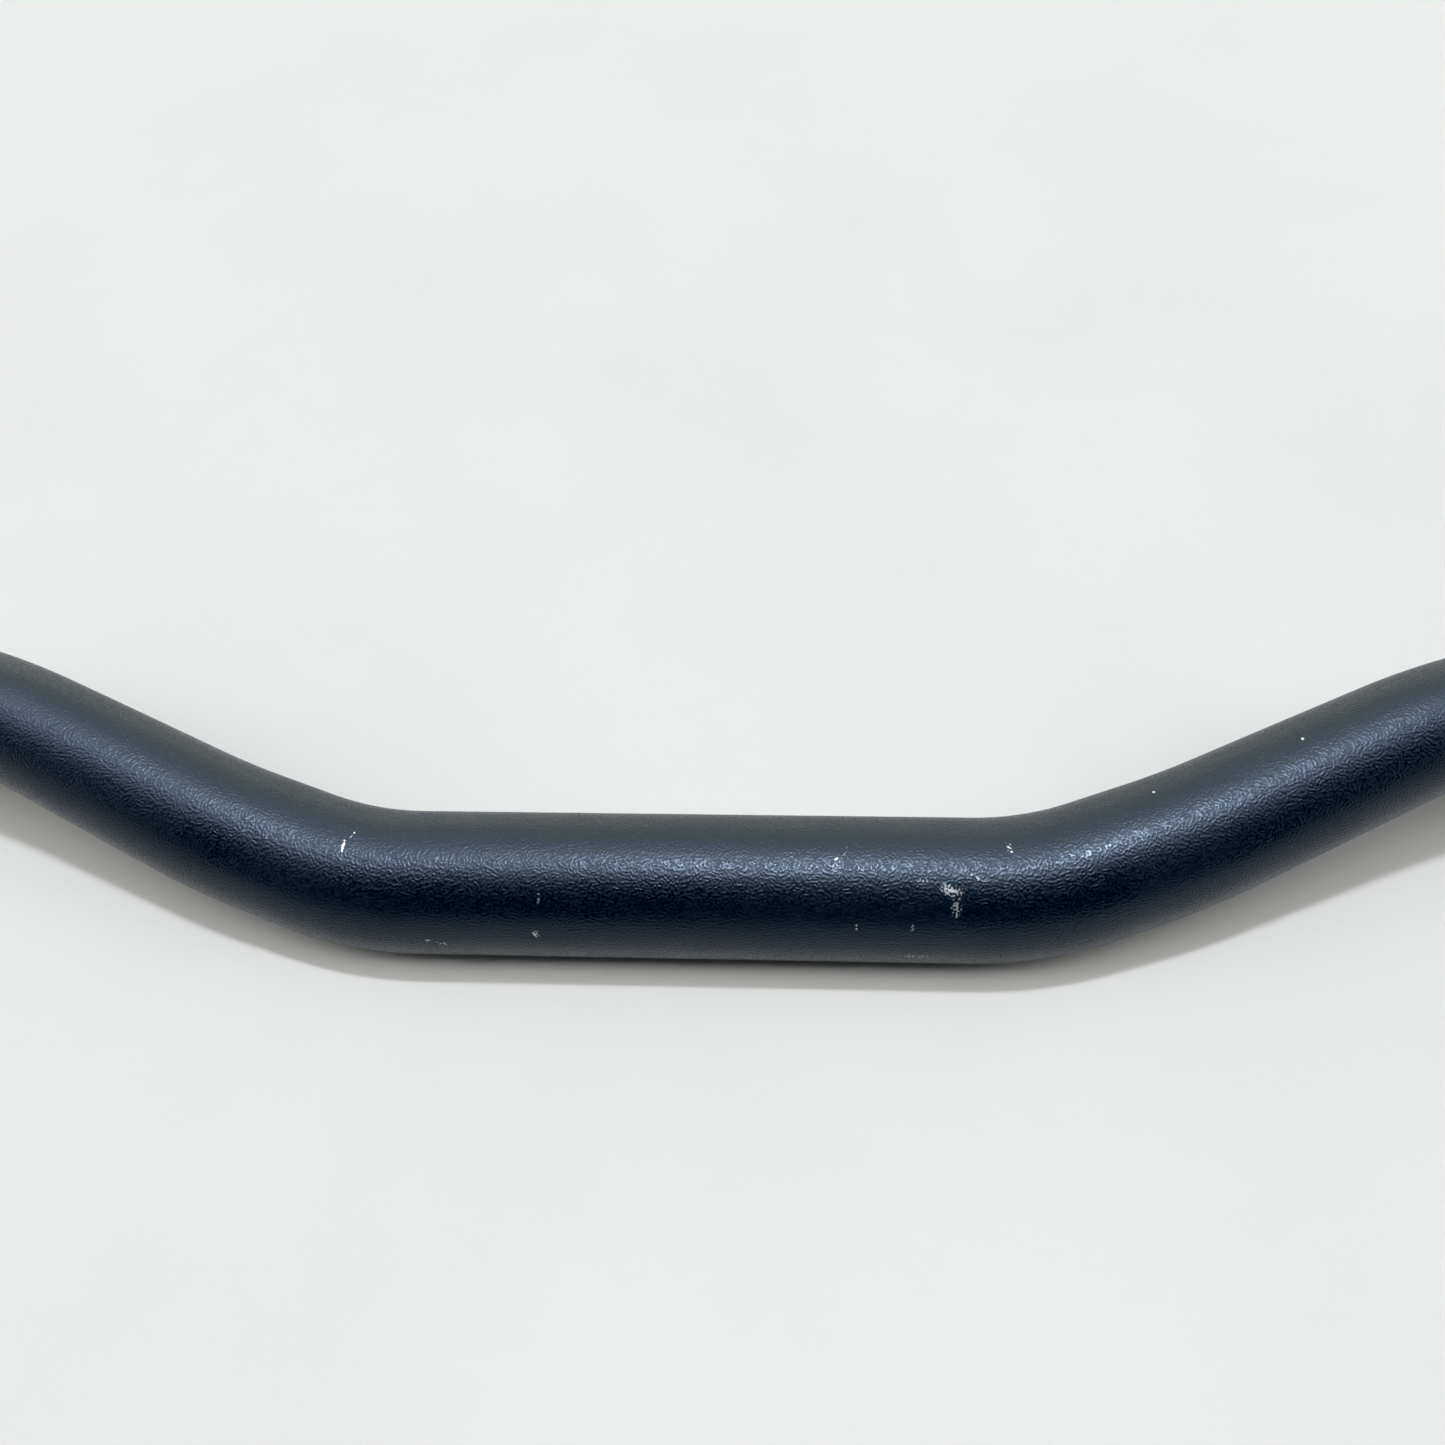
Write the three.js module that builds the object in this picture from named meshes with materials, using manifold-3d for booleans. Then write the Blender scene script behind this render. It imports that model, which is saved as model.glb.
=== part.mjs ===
// A tapered motorcycle handlebar: one bent, butted aluminium tube, and in each of its ends a
// vibration weight on rubber rings, a retaining clip, an outer end weight and its screw.
//
// Frame, in millimetres: the origin is on the tube's axis, in the middle of the clamp section.
// +X runs along the clamp section to the rider's left hand. +Z is up as the bar lies on a bench,
// on its clamp section and both end weights. +Y is the side that the two wings rise towards.

import * as THREE from "three";
import { mergeVertices } from "three/addons/utils/BufferGeometryUtils.js";
import Module from "manifold-3d";

// ---------------------------------------------------------------- driving dimensions

const GAP = 0.3; // clearance that separate solids keep from each other

const CLAMP_RADIUS = 14.3; // 28.6 mm clamp section
const GRIP_RADIUS = 11.1; // 22.2 mm grip section
const CLAMP_BORE = 10.4; // the wall is 3.9 mm thick at the clamp
const GRIP_BORE = 7.9; // and 3.2 mm thick under the grips
const TAPER_START = 55; // along the axis from the middle of the bar
const TAPER_END = 230;
const TUBE_SIDES = 36;
const TAPER_STEP = 17; // longest step between sections while the tube tapers
const BEND_STEP = 4.5; // longest step between sections in a bend
const END_CHAMFER = 0.6;

const HALF_WIDTH = 375; // 750 mm wide over the bare tube
const GRIP_DEPTH = 88; // how far the tube's ends stand from the clamp axis, along Y

// The half bar's axis as straight lines between corners, each corner rounded to a radius.
const CORNERS = [
  { at: [67, 0, 0], radius: 70 }, // rise, tight stage beside the clamp
  { at: [96.5, 9.2, 5.2], radius: 175 }, // rise, easy stage along the wing
  { at: [151.7, 32.4, 16.9], radius: 116 }, // back to the grip
];

const CLIP_HOLE = { fromEnd: 23.5, radius: 2.6 }; // the retaining clip's tab snaps in here
const SWITCH_HOLE = { fromEnd: 165, radius: 2.25 }; // locates the switch housing
const DOWN_TURN = THREE.MathUtils.degToRad(143); // from +Z round towards -Y: down on the motorcycle
const FRONT_TURN = THREE.MathUtils.degToRad(53); // likewise: forwards on the motorcycle

// End fittings. Heights y are along the grip's axis, from the tube's end face outwards.
const INNER_WEIGHT = {
  radius: 7.1,
  inboard: -128,
  shoulder: -8,
  noseRadius: 4.9,
  noseTip: 4.8,
  noseFlats: 8, // across the two flats
  threadRadius: 3.2,
  threadBottom: -14,
  chamfer: 1,
};
const CLIP_GROOVE = { low: -27, high: -20, radius: 5.6 };
const RING_GROOVES = {
  outboard: { low: -43, high: -36, radius: 5.4 },
  inboard: { low: -115, high: -108, radius: 5.4 },
};
const CLIP = { thickness: 0.7, tabRadius: 2.2, tabReach: 10.7, mouth: 70 };

const END_WEIGHT = {
  radius: 15,
  inner: 1.5,
  outer: 34,
  chamfer: 0.8,
  flangeEnd: 6,
  grooveRadius: 13.4,
  bodyStart: 10,
  bodyEnd: 27,
  faceRadius: 11,
  recessRadius: 5.4,
  screwHole: 3.4,
  counterboreRadius: 5.6,
  counterboreDepth: 8,
};
const SCREW = {
  headRadius: 5,
  headHeight: 6,
  shankRadius: 2.9,
  tip: -8,
  socketAcross: 5,
  socketDepth: 3,
};

const LATHE_SIDES = 28;

// ---------------------------------------------------------------- materials

const material = (color, roughness, metalness) =>
  new THREE.MeshStandardMaterial({ color, roughness, metalness });
const texturedBlack = material(0x14181f, 0.55, 0.1);
const zincPlate = material(0xa7abaf, 0.35, 0.9);
const rubber = material(0x1b1b1c, 0.85, 0);
const springSteel = material(0x6f7276, 0.4, 0.9);
const satinBlack = material(0x1a1b1d, 0.4, 0.4);
const blackOxide = material(0x26272a, 0.45, 0.8);

// ---------------------------------------------------------------- solids

const wasm = await Module();
wasm.setup();

/** A closed three.js geometry as a manifold-3d solid. */
function solidOf(geometry) {
  const bare = geometry.index ? geometry.toNonIndexed() : geometry.clone();
  bare.deleteAttribute("normal");
  bare.deleteAttribute("uv");
  const merged = mergeVertices(bare, 1e-4);
  return new wasm.Manifold(
    new wasm.Mesh({
      numProp: 3,
      vertProperties: merged.attributes.position.array,
      triVerts: new Uint32Array(merged.index.array),
    }),
  );
}

/** A manifold-3d solid as a three.js geometry. */
function geometryOf(solid) {
  const mesh = solid.getMesh();
  return new THREE.BufferGeometry()
    .setAttribute("position", new THREE.BufferAttribute(mesh.vertProperties, 3))
    .setIndex(new THREE.BufferAttribute(mesh.triVerts, 1));
}

/** The geometry with every cutter taken out of it. */
function cut(geometry, cutters) {
  const start = solidOf(geometry);
  return geometryOf(cutters.reduce((left, tool) => left.subtract(solidOf(tool)), start));
}

/** A solid of revolution about Y from [radius, height] pairs that run up its outside. */
function turned(profile, sides = LATHE_SIDES) {
  return new THREE.LatheGeometry(
    profile.map(([radius, height]) => new THREE.Vector2(radius, height)),
    sides,
  );
}

/** A pin along the direction that lies `turn` from +Z towards +X, square to Y. */
function radialPin(radius, from, to, height, turn, sides = 20) {
  return new THREE.CylinderGeometry(radius, radius, to - from, sides)
    .rotateX(Math.PI / 2)
    .translate(0, 0, (from + to) / 2)
    .rotateY(turn)
    .translate(0, height, 0);
}

// ---------------------------------------------------------------- the bent axis

/**
 * The axis of the +X half of the bar. Each piece of it, straight or arc, knows where it starts
 * and how the tube's section is turned there. Local Y follows the tube, and local Z starts as +Z.
 */
function bentAxis(corners, end) {
  const points = [new THREE.Vector3(), ...corners.map((c) => new THREE.Vector3(...c.at)), end];
  const turn = new THREE.Quaternion().setFromAxisAngle(new THREE.Vector3(0, 0, 1), -Math.PI / 2);
  const pieces = [];
  let from = points[0].clone();
  let start = 0;
  corners.forEach(({ radius }, i) => {
    const before = points[i + 1].clone().sub(points[i]).normalize();
    const after = points[i + 2].clone().sub(points[i + 1]).normalize();
    const angle = before.angleTo(after);
    const bendFrom = points[i + 1].clone().addScaledVector(before, -radius * Math.tan(angle / 2));
    pieces.push({ start, length: bendFrom.distanceTo(from), from, turn: turn.clone() });
    start += bendFrom.distanceTo(from);

    const spin = before.clone().cross(after).normalize();
    const centre = spin.clone().cross(before).multiplyScalar(radius).add(bendFrom);
    const arc = { start, length: radius * angle, from: bendFrom, turn: turn.clone() };
    pieces.push({ ...arc, radius, spin, centre });
    start += radius * angle;
    turn.premultiply(new THREE.Quaternion().setFromAxisAngle(spin, angle));
    from = bendFrom.clone().sub(centre).applyAxisAngle(spin, angle).add(centre);
  });
  pieces.push({ start, length: end.distanceTo(from), from, turn: turn.clone() });
  return { pieces, length: start + end.distanceTo(from) };
}

/** Where the axis is at a distance along it, and how the section is turned there. */
function sectionAt(axis, distance) {
  const piece = axis.pieces.findLast((p) => p.start <= distance + 1e-9);
  const along = distance - piece.start;
  if (!piece.radius) {
    const tangent = new THREE.Vector3(0, 1, 0).applyQuaternion(piece.turn);
    return { point: piece.from.clone().addScaledVector(tangent, along), turn: piece.turn };
  }
  const angle = along / piece.radius;
  const swing = new THREE.Quaternion().setFromAxisAngle(piece.spin, angle);
  return {
    point: piece.from.clone().sub(piece.centre).applyQuaternion(swing).add(piece.centre),
    turn: swing.multiply(piece.turn),
  };
}

/** How far the taper has gone, from 0 at the clamp to 1 at the grip. */
const taper = (distance) => THREE.MathUtils.smoothstep(distance, TAPER_START, TAPER_END);
const outerRadius = (distance) => THREE.MathUtils.lerp(CLAMP_RADIUS, GRIP_RADIUS, taper(distance));
const boreRadius = (distance) => THREE.MathUtils.lerp(CLAMP_BORE, GRIP_BORE, taper(distance));

// The end weight's outer rim rests on the bench that the clamp section lies on. The last corner's
// height and the rim's are known, and the tube's end lies on the line through both.
const lastCorner = CORNERS.at(-1).at;
const gripRun = Math.hypot(HALF_WIDTH - lastCorner[0], GRIP_DEPTH - lastCorner[1]);
const rimHeight = END_WEIGHT.radius - CLAMP_RADIUS;
const rimReach = END_WEIGHT.bodyEnd / gripRun;
const endHeight = (rimHeight + lastCorner[2] * rimReach) / (1 + rimReach);

const axis = bentAxis(CORNERS, new THREE.Vector3(HALF_WIDTH, GRIP_DEPTH, endHeight));

/** Distances along the half axis where the tube gets a section, from the middle to the end. */
function stations() {
  const found = [0];
  for (const piece of axis.pieces) {
    const tapers = piece.start + piece.length > TAPER_START && piece.start < TAPER_END;
    const stop = piece.start + piece.length;
    const shaped = piece.radius ? stop : Math.min(stop, TAPER_END);
    const step = piece.radius ? BEND_STEP : TAPER_STEP;
    if (tapers && shaped > piece.start) {
      const count = Math.ceil((shaped - piece.start) / step);
      for (let i = 1; i <= count; i++) found.push(piece.start + ((shaped - piece.start) * i) / count);
    }
    if (found.at(-1) < stop - 1e-6) found.push(stop);
  }
  return found;
}

// ---------------------------------------------------------------- the tube

/** Bends a straight blank, turned about Y and as long as the whole bar, along the bar's axis. */
function bend(blank) {
  const position = blank.getAttribute("position");
  for (let i = 0; i < position.count; i++) {
    const side = position.getY(i) < 0 ? -1 : 1;
    const { point, turn } = sectionAt(axis, Math.abs(position.getY(i)));
    const placed = new THREE.Vector3(position.getX(i), 0, position.getZ(i));
    placed.applyQuaternion(turn).add(point);
    position.setXYZ(i, side * placed.x, placed.y, placed.z);
  }
  return blank;
}

/** A pin square to the tube's wall, at a distance from the tube's end, on one side of the bar. */
function wallPin({ fromEnd, radius }, turn, side) {
  const { point, turn: section } = sectionAt(axis, axis.length - fromEnd);
  const pin = radialPin(radius, GRIP_BORE - 2, GRIP_RADIUS + 2, 0, turn);
  pin.applyQuaternion(section).translate(point.x, point.y, point.z);
  return side > 0 ? pin : mirrored(pin);
}

/** The geometry mirrored in X, with its faces turned back to point outwards. */
function mirrored(geometry) {
  const flipped = geometry.toNonIndexed().scale(-1, 1, 1);
  const position = flipped.getAttribute("position");
  const a = new THREE.Vector3();
  const b = new THREE.Vector3();
  for (let i = 0; i < position.count; i += 3) {
    a.fromBufferAttribute(position, i);
    b.fromBufferAttribute(position, i + 1);
    position.setXYZ(i, b.x, b.y, b.z);
    position.setXYZ(i + 1, a.x, a.y, a.z);
  }
  return flipped;
}

function handlebarTube() {
  const half = stations();
  const whole = [...half.slice(1).reverse().map((s) => -s), ...half];
  const last = whole.length - 1;
  const outside = whole.map((s, i) => {
    const atEnd = i === 0 || i === last;
    return [outerRadius(Math.abs(s)) - (atEnd ? END_CHAMFER : 0), s];
  });
  // The chamfer's inner corners, just inboard of each end face.
  outside.splice(1, 0, [GRIP_RADIUS, -axis.length + END_CHAMFER]);
  outside.splice(outside.length - 1, 0, [GRIP_RADIUS, axis.length - END_CHAMFER]);
  const inside = [...whole].reverse().map((s) => [boreRadius(Math.abs(s)), s]);
  const blank = turned([...outside, ...inside, outside[0]], TUBE_SIDES);
  const holes = [1, -1].flatMap((side) => [
    wallPin(CLIP_HOLE, DOWN_TURN, side),
    wallPin(SWITCH_HOLE, FRONT_TURN, side),
  ]);
  return cut(bend(blank), holes);
}

// ---------------------------------------------------------------- end fittings

/** Steel rod inside the tube's end, with grooves for its rings and clip and a tapped nose. */
function innerWeight() {
  const w = INNER_WEIGHT;
  const grooves = [RING_GROOVES.inboard, RING_GROOVES.outboard, CLIP_GROOVE].flatMap((g) => [
    [w.radius, g.low],
    [g.radius, g.low],
    [g.radius, g.high],
    [w.radius, g.high],
  ]);
  const rod = turned([
    [0, w.inboard],
    [w.radius - w.chamfer, w.inboard],
    [w.radius, w.inboard + w.chamfer],
    ...grooves,
    [w.radius, w.shoulder],
    [w.noseRadius, w.shoulder],
    [w.noseRadius, w.noseTip],
    [w.threadRadius, w.noseTip],
    [w.threadRadius, w.threadBottom],
    [0, w.threadBottom],
  ]);
  const noseLength = w.noseTip - w.shoulder;
  const flats = [1, -1].map((side) =>
    new THREE.BoxGeometry(2 * w.noseRadius + 2, noseLength + 1, w.noseRadius)
      .translate(0, w.shoulder + noseLength / 2 + 0.5, side * (w.noseFlats + w.noseRadius) / 2),
  );
  return cut(rod, flats);
}

/** Rubber ring that holds the inner weight clear of the tube, crowned where it meets the bore. */
function damperRing(groove) {
  const inner = groove.radius + GAP;
  const outer = GRIP_BORE - GAP - 0.05;
  const low = groove.low + GAP;
  const high = groove.high - GAP;
  const crown = 1.2;
  return turned([
    [inner, low],
    [outer - crown / 2, low],
    [outer, low + crown],
    [outer, high - crown],
    [outer - crown / 2, high],
    [inner, high],
    [inner, low],
  ]);
}

/** Spring band round the inner weight, whose tab stands in the tube's clip hole. */
function retainingClip(turn) {
  const inner = CLIP_GROOVE.radius + GAP;
  const outer = inner + CLIP.thickness;
  const half = THREE.MathUtils.degToRad((360 - CLIP.mouth) / 2);
  const band = new THREE.Shape();
  band.absarc(0, 0, outer, -half, half, false);
  band.absarc(0, 0, inner, half, -half, true);
  band.closePath();
  const width = CLIP_GROOVE.high - CLIP_GROOVE.low - 2 * GAP;
  const ring = new THREE.ExtrudeGeometry(band, { depth: width, bevelEnabled: false, curveSegments: 20 })
    .translate(0, 0, -width / 2)
    .rotateX(Math.PI / 2) // the band's axis along Y
    .rotateY(turn - Math.PI / 2) // the middle of the band under the tab
    .translate(0, -CLIP_HOLE.fromEnd, 0);
  const foot = inner + 0.1;
  const tab = radialPin(CLIP.tabRadius, foot, CLIP.tabReach, -CLIP_HOLE.fromEnd, turn);
  return geometryOf(solidOf(ring).add(solidOf(tab)));
}

/** Turned weight beyond the tube's end: a flange, a groove and a body that rounds off outwards. */
function endWeight() {
  const w = END_WEIGHT;
  const noseRoom = INNER_WEIGHT.noseTip + GAP;
  const shoulder = w.outer - w.counterboreDepth;
  const roundSteps = 4;
  const rounding = Array.from({ length: roundSteps }, (_, i) => {
    const angle = ((i + 1) / roundSteps) * (Math.PI / 2);
    return [
      w.faceRadius + (w.radius - w.faceRadius) * Math.cos(angle),
      w.bodyEnd + (w.outer - w.bodyEnd) * Math.sin(angle),
    ];
  });
  return turned([
    [w.recessRadius, w.inner],
    [w.radius - w.chamfer, w.inner],
    [w.radius, w.inner + w.chamfer],
    [w.radius, w.flangeEnd],
    [w.grooveRadius, w.flangeEnd + w.chamfer],
    [w.grooveRadius, w.bodyStart - w.chamfer],
    [w.radius, w.bodyStart],
    [w.radius, w.bodyEnd],
    ...rounding,
    [w.counterboreRadius, w.outer],
    [w.counterboreRadius, shoulder],
    [w.screwHole, shoulder],
    [w.screwHole, noseRoom],
    [w.recessRadius, noseRoom],
    [w.recessRadius, w.inner],
  ]);
}

/** Socket cap screw that pulls the end weight against the inner weight's nose. */
function endScrew() {
  const seat = END_WEIGHT.outer - END_WEIGHT.counterboreDepth + GAP;
  const top = seat + SCREW.headHeight;
  const chamfer = 0.6;
  const blank = turned([
    [0, SCREW.tip],
    [SCREW.shankRadius - chamfer, SCREW.tip],
    [SCREW.shankRadius, SCREW.tip + chamfer],
    [SCREW.shankRadius, seat],
    [SCREW.headRadius, seat],
    [SCREW.headRadius, top - chamfer],
    [SCREW.headRadius - chamfer, top],
    [0, top],
  ]);
  const socketRadius = SCREW.socketAcross / Math.sqrt(3);
  const socket = new THREE.CylinderGeometry(socketRadius, socketRadius, SCREW.socketDepth + 1, 6)
    .translate(0, top - SCREW.socketDepth / 2 + 0.5, 0);
  return cut(blank, [socket]);
}

function mesh(name, geometry, look) {
  const made = new THREE.Mesh(geometry, look);
  made.name = name;
  return made;
}

/** All the fittings of one end, in a group whose Y runs out of the tube. */
function endFittings(name, side) {
  const { point, turn } = sectionAt(axis, axis.length);
  const outwards = new THREE.Vector3(0, 1, 0).applyQuaternion(turn);
  const up = new THREE.Vector3(0, 0, 1).applyQuaternion(turn);
  const mirror = new THREE.Vector3(side, 1, 1);
  outwards.multiply(mirror);
  up.multiply(mirror);
  const fittings = new THREE.Group();
  fittings.position.copy(point).multiply(mirror);
  fittings.quaternion.setFromRotationMatrix(
    new THREE.Matrix4().makeBasis(outwards.clone().cross(up), outwards, up),
  );
  // A mirrored end is turned the other way round its own axis.
  const tabTurn = side * DOWN_TURN;
  fittings.add(
    mesh(`${name}_inner_weight`, innerWeight(), zincPlate),
    mesh(`${name}_damper_ring_outboard`, damperRing(RING_GROOVES.outboard), rubber),
    mesh(`${name}_damper_ring_inboard`, damperRing(RING_GROOVES.inboard), rubber),
    mesh(`${name}_retaining_clip`, retainingClip(tabTurn), springSteel),
    mesh(`${name}_end_weight`, endWeight(), satinBlack),
    mesh(`${name}_end_screw`, endScrew(), blackOxide),
  );
  return fittings;
}

// ---------------------------------------------------------------- the assembly

const handlebar = new THREE.Group();
handlebar.add(
  mesh("handlebar_tube", handlebarTube(), texturedBlack),
  endFittings("left", 1),
  endFittings("right", -1),
);

export default handlebar;
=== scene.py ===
"""A tapered motorcycle handlebar lying on a pale bench, with the fittings of both its ends.

Lengths are in metres and angles in radians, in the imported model's frame. The origin is on the
tube's axis in the middle of the clamp section, +X runs along that section to the rider's left
hand, +Z is up from the bench and +Y is the side that both wings sweep to.

Round surfaces are given by a distance along an axis and an angle round it. The angle is 0 on top
of the bar, a quarter turn on its -Y side and half a turn on the bench side. The right half is the
left half's mirror image in X.
"""

from __future__ import annotations

import logging
import math
from collections.abc import Sequence
from dataclasses import dataclass, field
from enum import Enum

import bmesh
import bpy
import numpy as np
from mathutils import Matrix, Vector

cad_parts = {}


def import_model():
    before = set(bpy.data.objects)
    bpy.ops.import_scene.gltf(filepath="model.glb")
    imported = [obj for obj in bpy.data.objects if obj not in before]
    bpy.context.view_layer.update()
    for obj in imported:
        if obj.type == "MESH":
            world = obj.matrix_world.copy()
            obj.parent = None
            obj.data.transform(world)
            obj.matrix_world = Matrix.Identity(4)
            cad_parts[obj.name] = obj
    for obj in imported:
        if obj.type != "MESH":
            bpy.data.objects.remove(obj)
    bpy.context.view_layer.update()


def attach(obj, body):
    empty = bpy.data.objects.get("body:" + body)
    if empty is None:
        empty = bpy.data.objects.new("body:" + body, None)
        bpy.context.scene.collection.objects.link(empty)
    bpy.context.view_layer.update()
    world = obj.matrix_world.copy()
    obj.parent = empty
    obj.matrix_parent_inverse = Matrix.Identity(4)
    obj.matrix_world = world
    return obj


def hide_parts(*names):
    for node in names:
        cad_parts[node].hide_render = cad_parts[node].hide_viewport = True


log = logging.getLogger("handlebar")

Array = np.ndarray
Colour = tuple[float, float, float]
MM = 0.001
TURN = 2 * math.pi
CLAMP_GIRTH = TURN * 14.3 * MM  # what a whole turn of the tube's surface coordinates spans


class Side(Enum):
    """A half of the bar, as the sign of its X."""

    LEFT = 1
    RIGHT = -1

    @property
    def label(self) -> str:
        """The side's name as the nodes carry it."""
        return self.name.lower()

    @property
    def mirror(self) -> Array:
        """What a left-half vector is multiplied by to lie on this side."""
        return np.array([float(self.value), 1.0, 1.0])


# ------------------------------------------------------------------------------------ meshes


@dataclass
class Patch:
    """A grid of points that becomes a sheet of four-sided faces.

    Attributes:
        points: Rows by columns by 3.
        uv: Rows by columns by 2, the piece's own surface coordinates.
        edge: Rows by columns, 1 on a worn corner and 0 on a flat, or None for 0 throughout.
        finish: Index of the faces' finish, one for all or an array with one for each face.
        keep: One truth value for each face, False where the face is left out, or None.
    """

    points: Array
    uv: Array
    edge: Array | None = None
    finish: int | Array = 0
    keep: Array | None = None


def make_piece(
    name: str,
    patches: Sequence[Patch],
    finishes: Sequence[bpy.types.Material],
    sharp: float = math.radians(38),
) -> bpy.types.Object:
    """Joins patches into one closed mesh whose faces point outwards.

    Args:
        name: The new object's name.
        patches: Sheets that meet along shared points.
        finishes: Materials, in the order that the patches' finish indices count.
        sharp: Edges that bend more than this stay sharp.

    Returns:
        The new object, linked to the scene, with its place in its mesh.
    """
    points, uvs, edges, faces, slots = [], [], [], [], []
    base = 0
    for patch in patches:
        rows, columns = patch.points.shape[:2]
        index = base + np.arange(rows * columns).reshape(rows, columns)
        quads = np.stack([index[:-1, :-1], index[:-1, 1:], index[1:, 1:], index[1:, :-1]], -1)
        keep = np.ones((rows - 1, columns - 1), bool) if patch.keep is None else patch.keep
        faces.append(quads[keep])
        slots.append(np.broadcast_to(patch.finish, keep.shape)[keep])
        points.append(patch.points.reshape(-1, 3))
        uvs.append(patch.uv.reshape(-1, 2))
        edge = np.zeros((rows, columns)) if patch.edge is None else patch.edge
        edges.append(edge.reshape(-1))
        base += rows * columns
    all_faces = np.concatenate(faces)
    mesh = bpy.data.meshes.new(name)
    mesh.from_pydata(np.concatenate(points), [], all_faces)
    layer = mesh.uv_layers.new(name="surface")
    layer.data.foreach_set("uv", np.concatenate(uvs)[all_faces.ravel()].ravel())
    wear = mesh.attributes.new("edge", "FLOAT", "POINT")
    wear.data.foreach_set("value", np.concatenate(edges).astype(np.float32))
    mesh.polygons.foreach_set("material_index", np.concatenate(slots).astype(np.int32))
    mesh.polygons.foreach_set("use_smooth", np.ones(len(all_faces), bool))
    close_and_face_out(mesh)
    mesh.set_sharp_from_angle(angle=sharp)
    for finish in finishes:
        mesh.materials.append(finish)
    piece = bpy.data.objects.new(name, mesh)
    bpy.context.scene.collection.objects.link(piece)
    return piece


def close_and_face_out(mesh: bpy.types.Mesh) -> None:
    """Merges points that coincide, at seams and poles, and turns every face outwards.

    Args:
        mesh: A mesh whose sheets meet all round.
    """
    work = bmesh.new()
    work.from_mesh(mesh)
    bmesh.ops.remove_doubles(work, verts=work.verts, dist=2e-7)
    bmesh.ops.dissolve_degenerate(work, edges=work.edges, dist=1e-8)
    bmesh.ops.recalc_face_normals(work, faces=work.faces)
    if work.calc_volume(signed=True) < 0:
        bmesh.ops.reverse_faces(work, faces=work.faces)
    work.to_mesh(mesh)
    work.free()


def softened(profile: Array, bevel: float, steps: int = 4) -> tuple[Array, Array]:
    """Rounds every inner corner of an open profile.

    Each corner gives way to the curve (1-t)^2 A + 2t(1-t) P + t^2 B, where P is the corner and
    A and B lie on its two sides, a bevel away or 0.42 of the side if that is less.

    Args:
        profile: Corners by 2, radius and height.
        bevel: How far from its corner the rounding starts.
        steps: Points on each rounding, less one.

    Returns:
        The rounded profile and, for each of its points, 1 in the middle of a rounding and 0 at
        its ends.
    """
    before, corner, after = profile[:-2], profile[1:-1], profile[2:]
    to_before = before - corner
    to_after = after - corner
    length_before = np.linalg.norm(to_before, axis=1, keepdims=True)
    length_after = np.linalg.norm(to_after, axis=1, keepdims=True)
    a = corner + to_before * np.minimum(bevel / length_before, 0.42)
    b = corner + to_after * np.minimum(bevel / length_after, 0.42)
    t = np.linspace(0, 1, steps + 1)[None, :, None]
    curve = (1 - t) ** 2 * a[:, None] + 2 * t * (1 - t) * corner[:, None] + t**2 * b[:, None]
    edge = np.broadcast_to(np.sin(np.pi * t), (len(corner), steps + 1, 1))
    return (
        np.concatenate([profile[:1], curve.reshape(-1, 2), profile[-1:]]),
        np.concatenate([[0.0], edge.reshape(-1), [0.0]]),
    )


def refined(profile: Array, edge: Array, longest: float) -> tuple[Array, Array]:
    """Adds points so that no step along a profile is longer than a limit.

    Args:
        profile: Points by 2.
        edge: One wear value for each point.
        longest: The longest step that stays.

    Returns:
        The finer profile and its wear values, by straight interpolation.
    """
    run = np.concatenate([[0], np.cumsum(np.linalg.norm(np.diff(profile, axis=0), axis=1))])
    marks = np.arange(1, int(run[-1] / longest)) * longest
    where = np.unique(np.concatenate([run, marks]))
    finer = np.stack([np.interp(where, run, profile[:, k]) for k in range(2)], axis=1)
    return finer, np.interp(where, run, edge)


# ------------------------------------------------------------------------------------ the axis


@dataclass(frozen=True)
class Corner:
    """Where two straight lines of the bar's axis would meet, and the radius of the bend there."""

    at: tuple[float, float, float]
    radius: float


@dataclass(frozen=True)
class Run:
    """One straight or bent stretch of the axis, with the directions at its start."""

    start: float
    length: float
    origin: Array
    along: Array
    up: Array
    spin: Array | None = None
    radius: float = 0.0


@dataclass(frozen=True)
class Sections:
    """Points of the axis and the directions there, each an array of points by 3."""

    point: Array
    along: Array
    up: Array

    @property
    def front(self) -> Array:
        """The direction a quarter turn round from up, square to the axis."""
        return np.cross(self.along, self.up)


def turned_about(vector: Array, spin: Array, angle: Array) -> Array:
    """Turns a vector about a unit axis.

    v cos a + (k x v) sin a + k (k.v)(1 - cos a), for every angle a.

    Args:
        vector: The vector v.
        spin: The axis k.
        angle: Angles, one for each result.

    Returns:
        Angles by 3.
    """
    a = np.asarray(angle, float)[..., None]
    return (
        vector * np.cos(a)
        + np.cross(spin, vector) * np.sin(a)
        + spin * (spin @ vector) * (1 - np.cos(a))
    )


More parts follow.
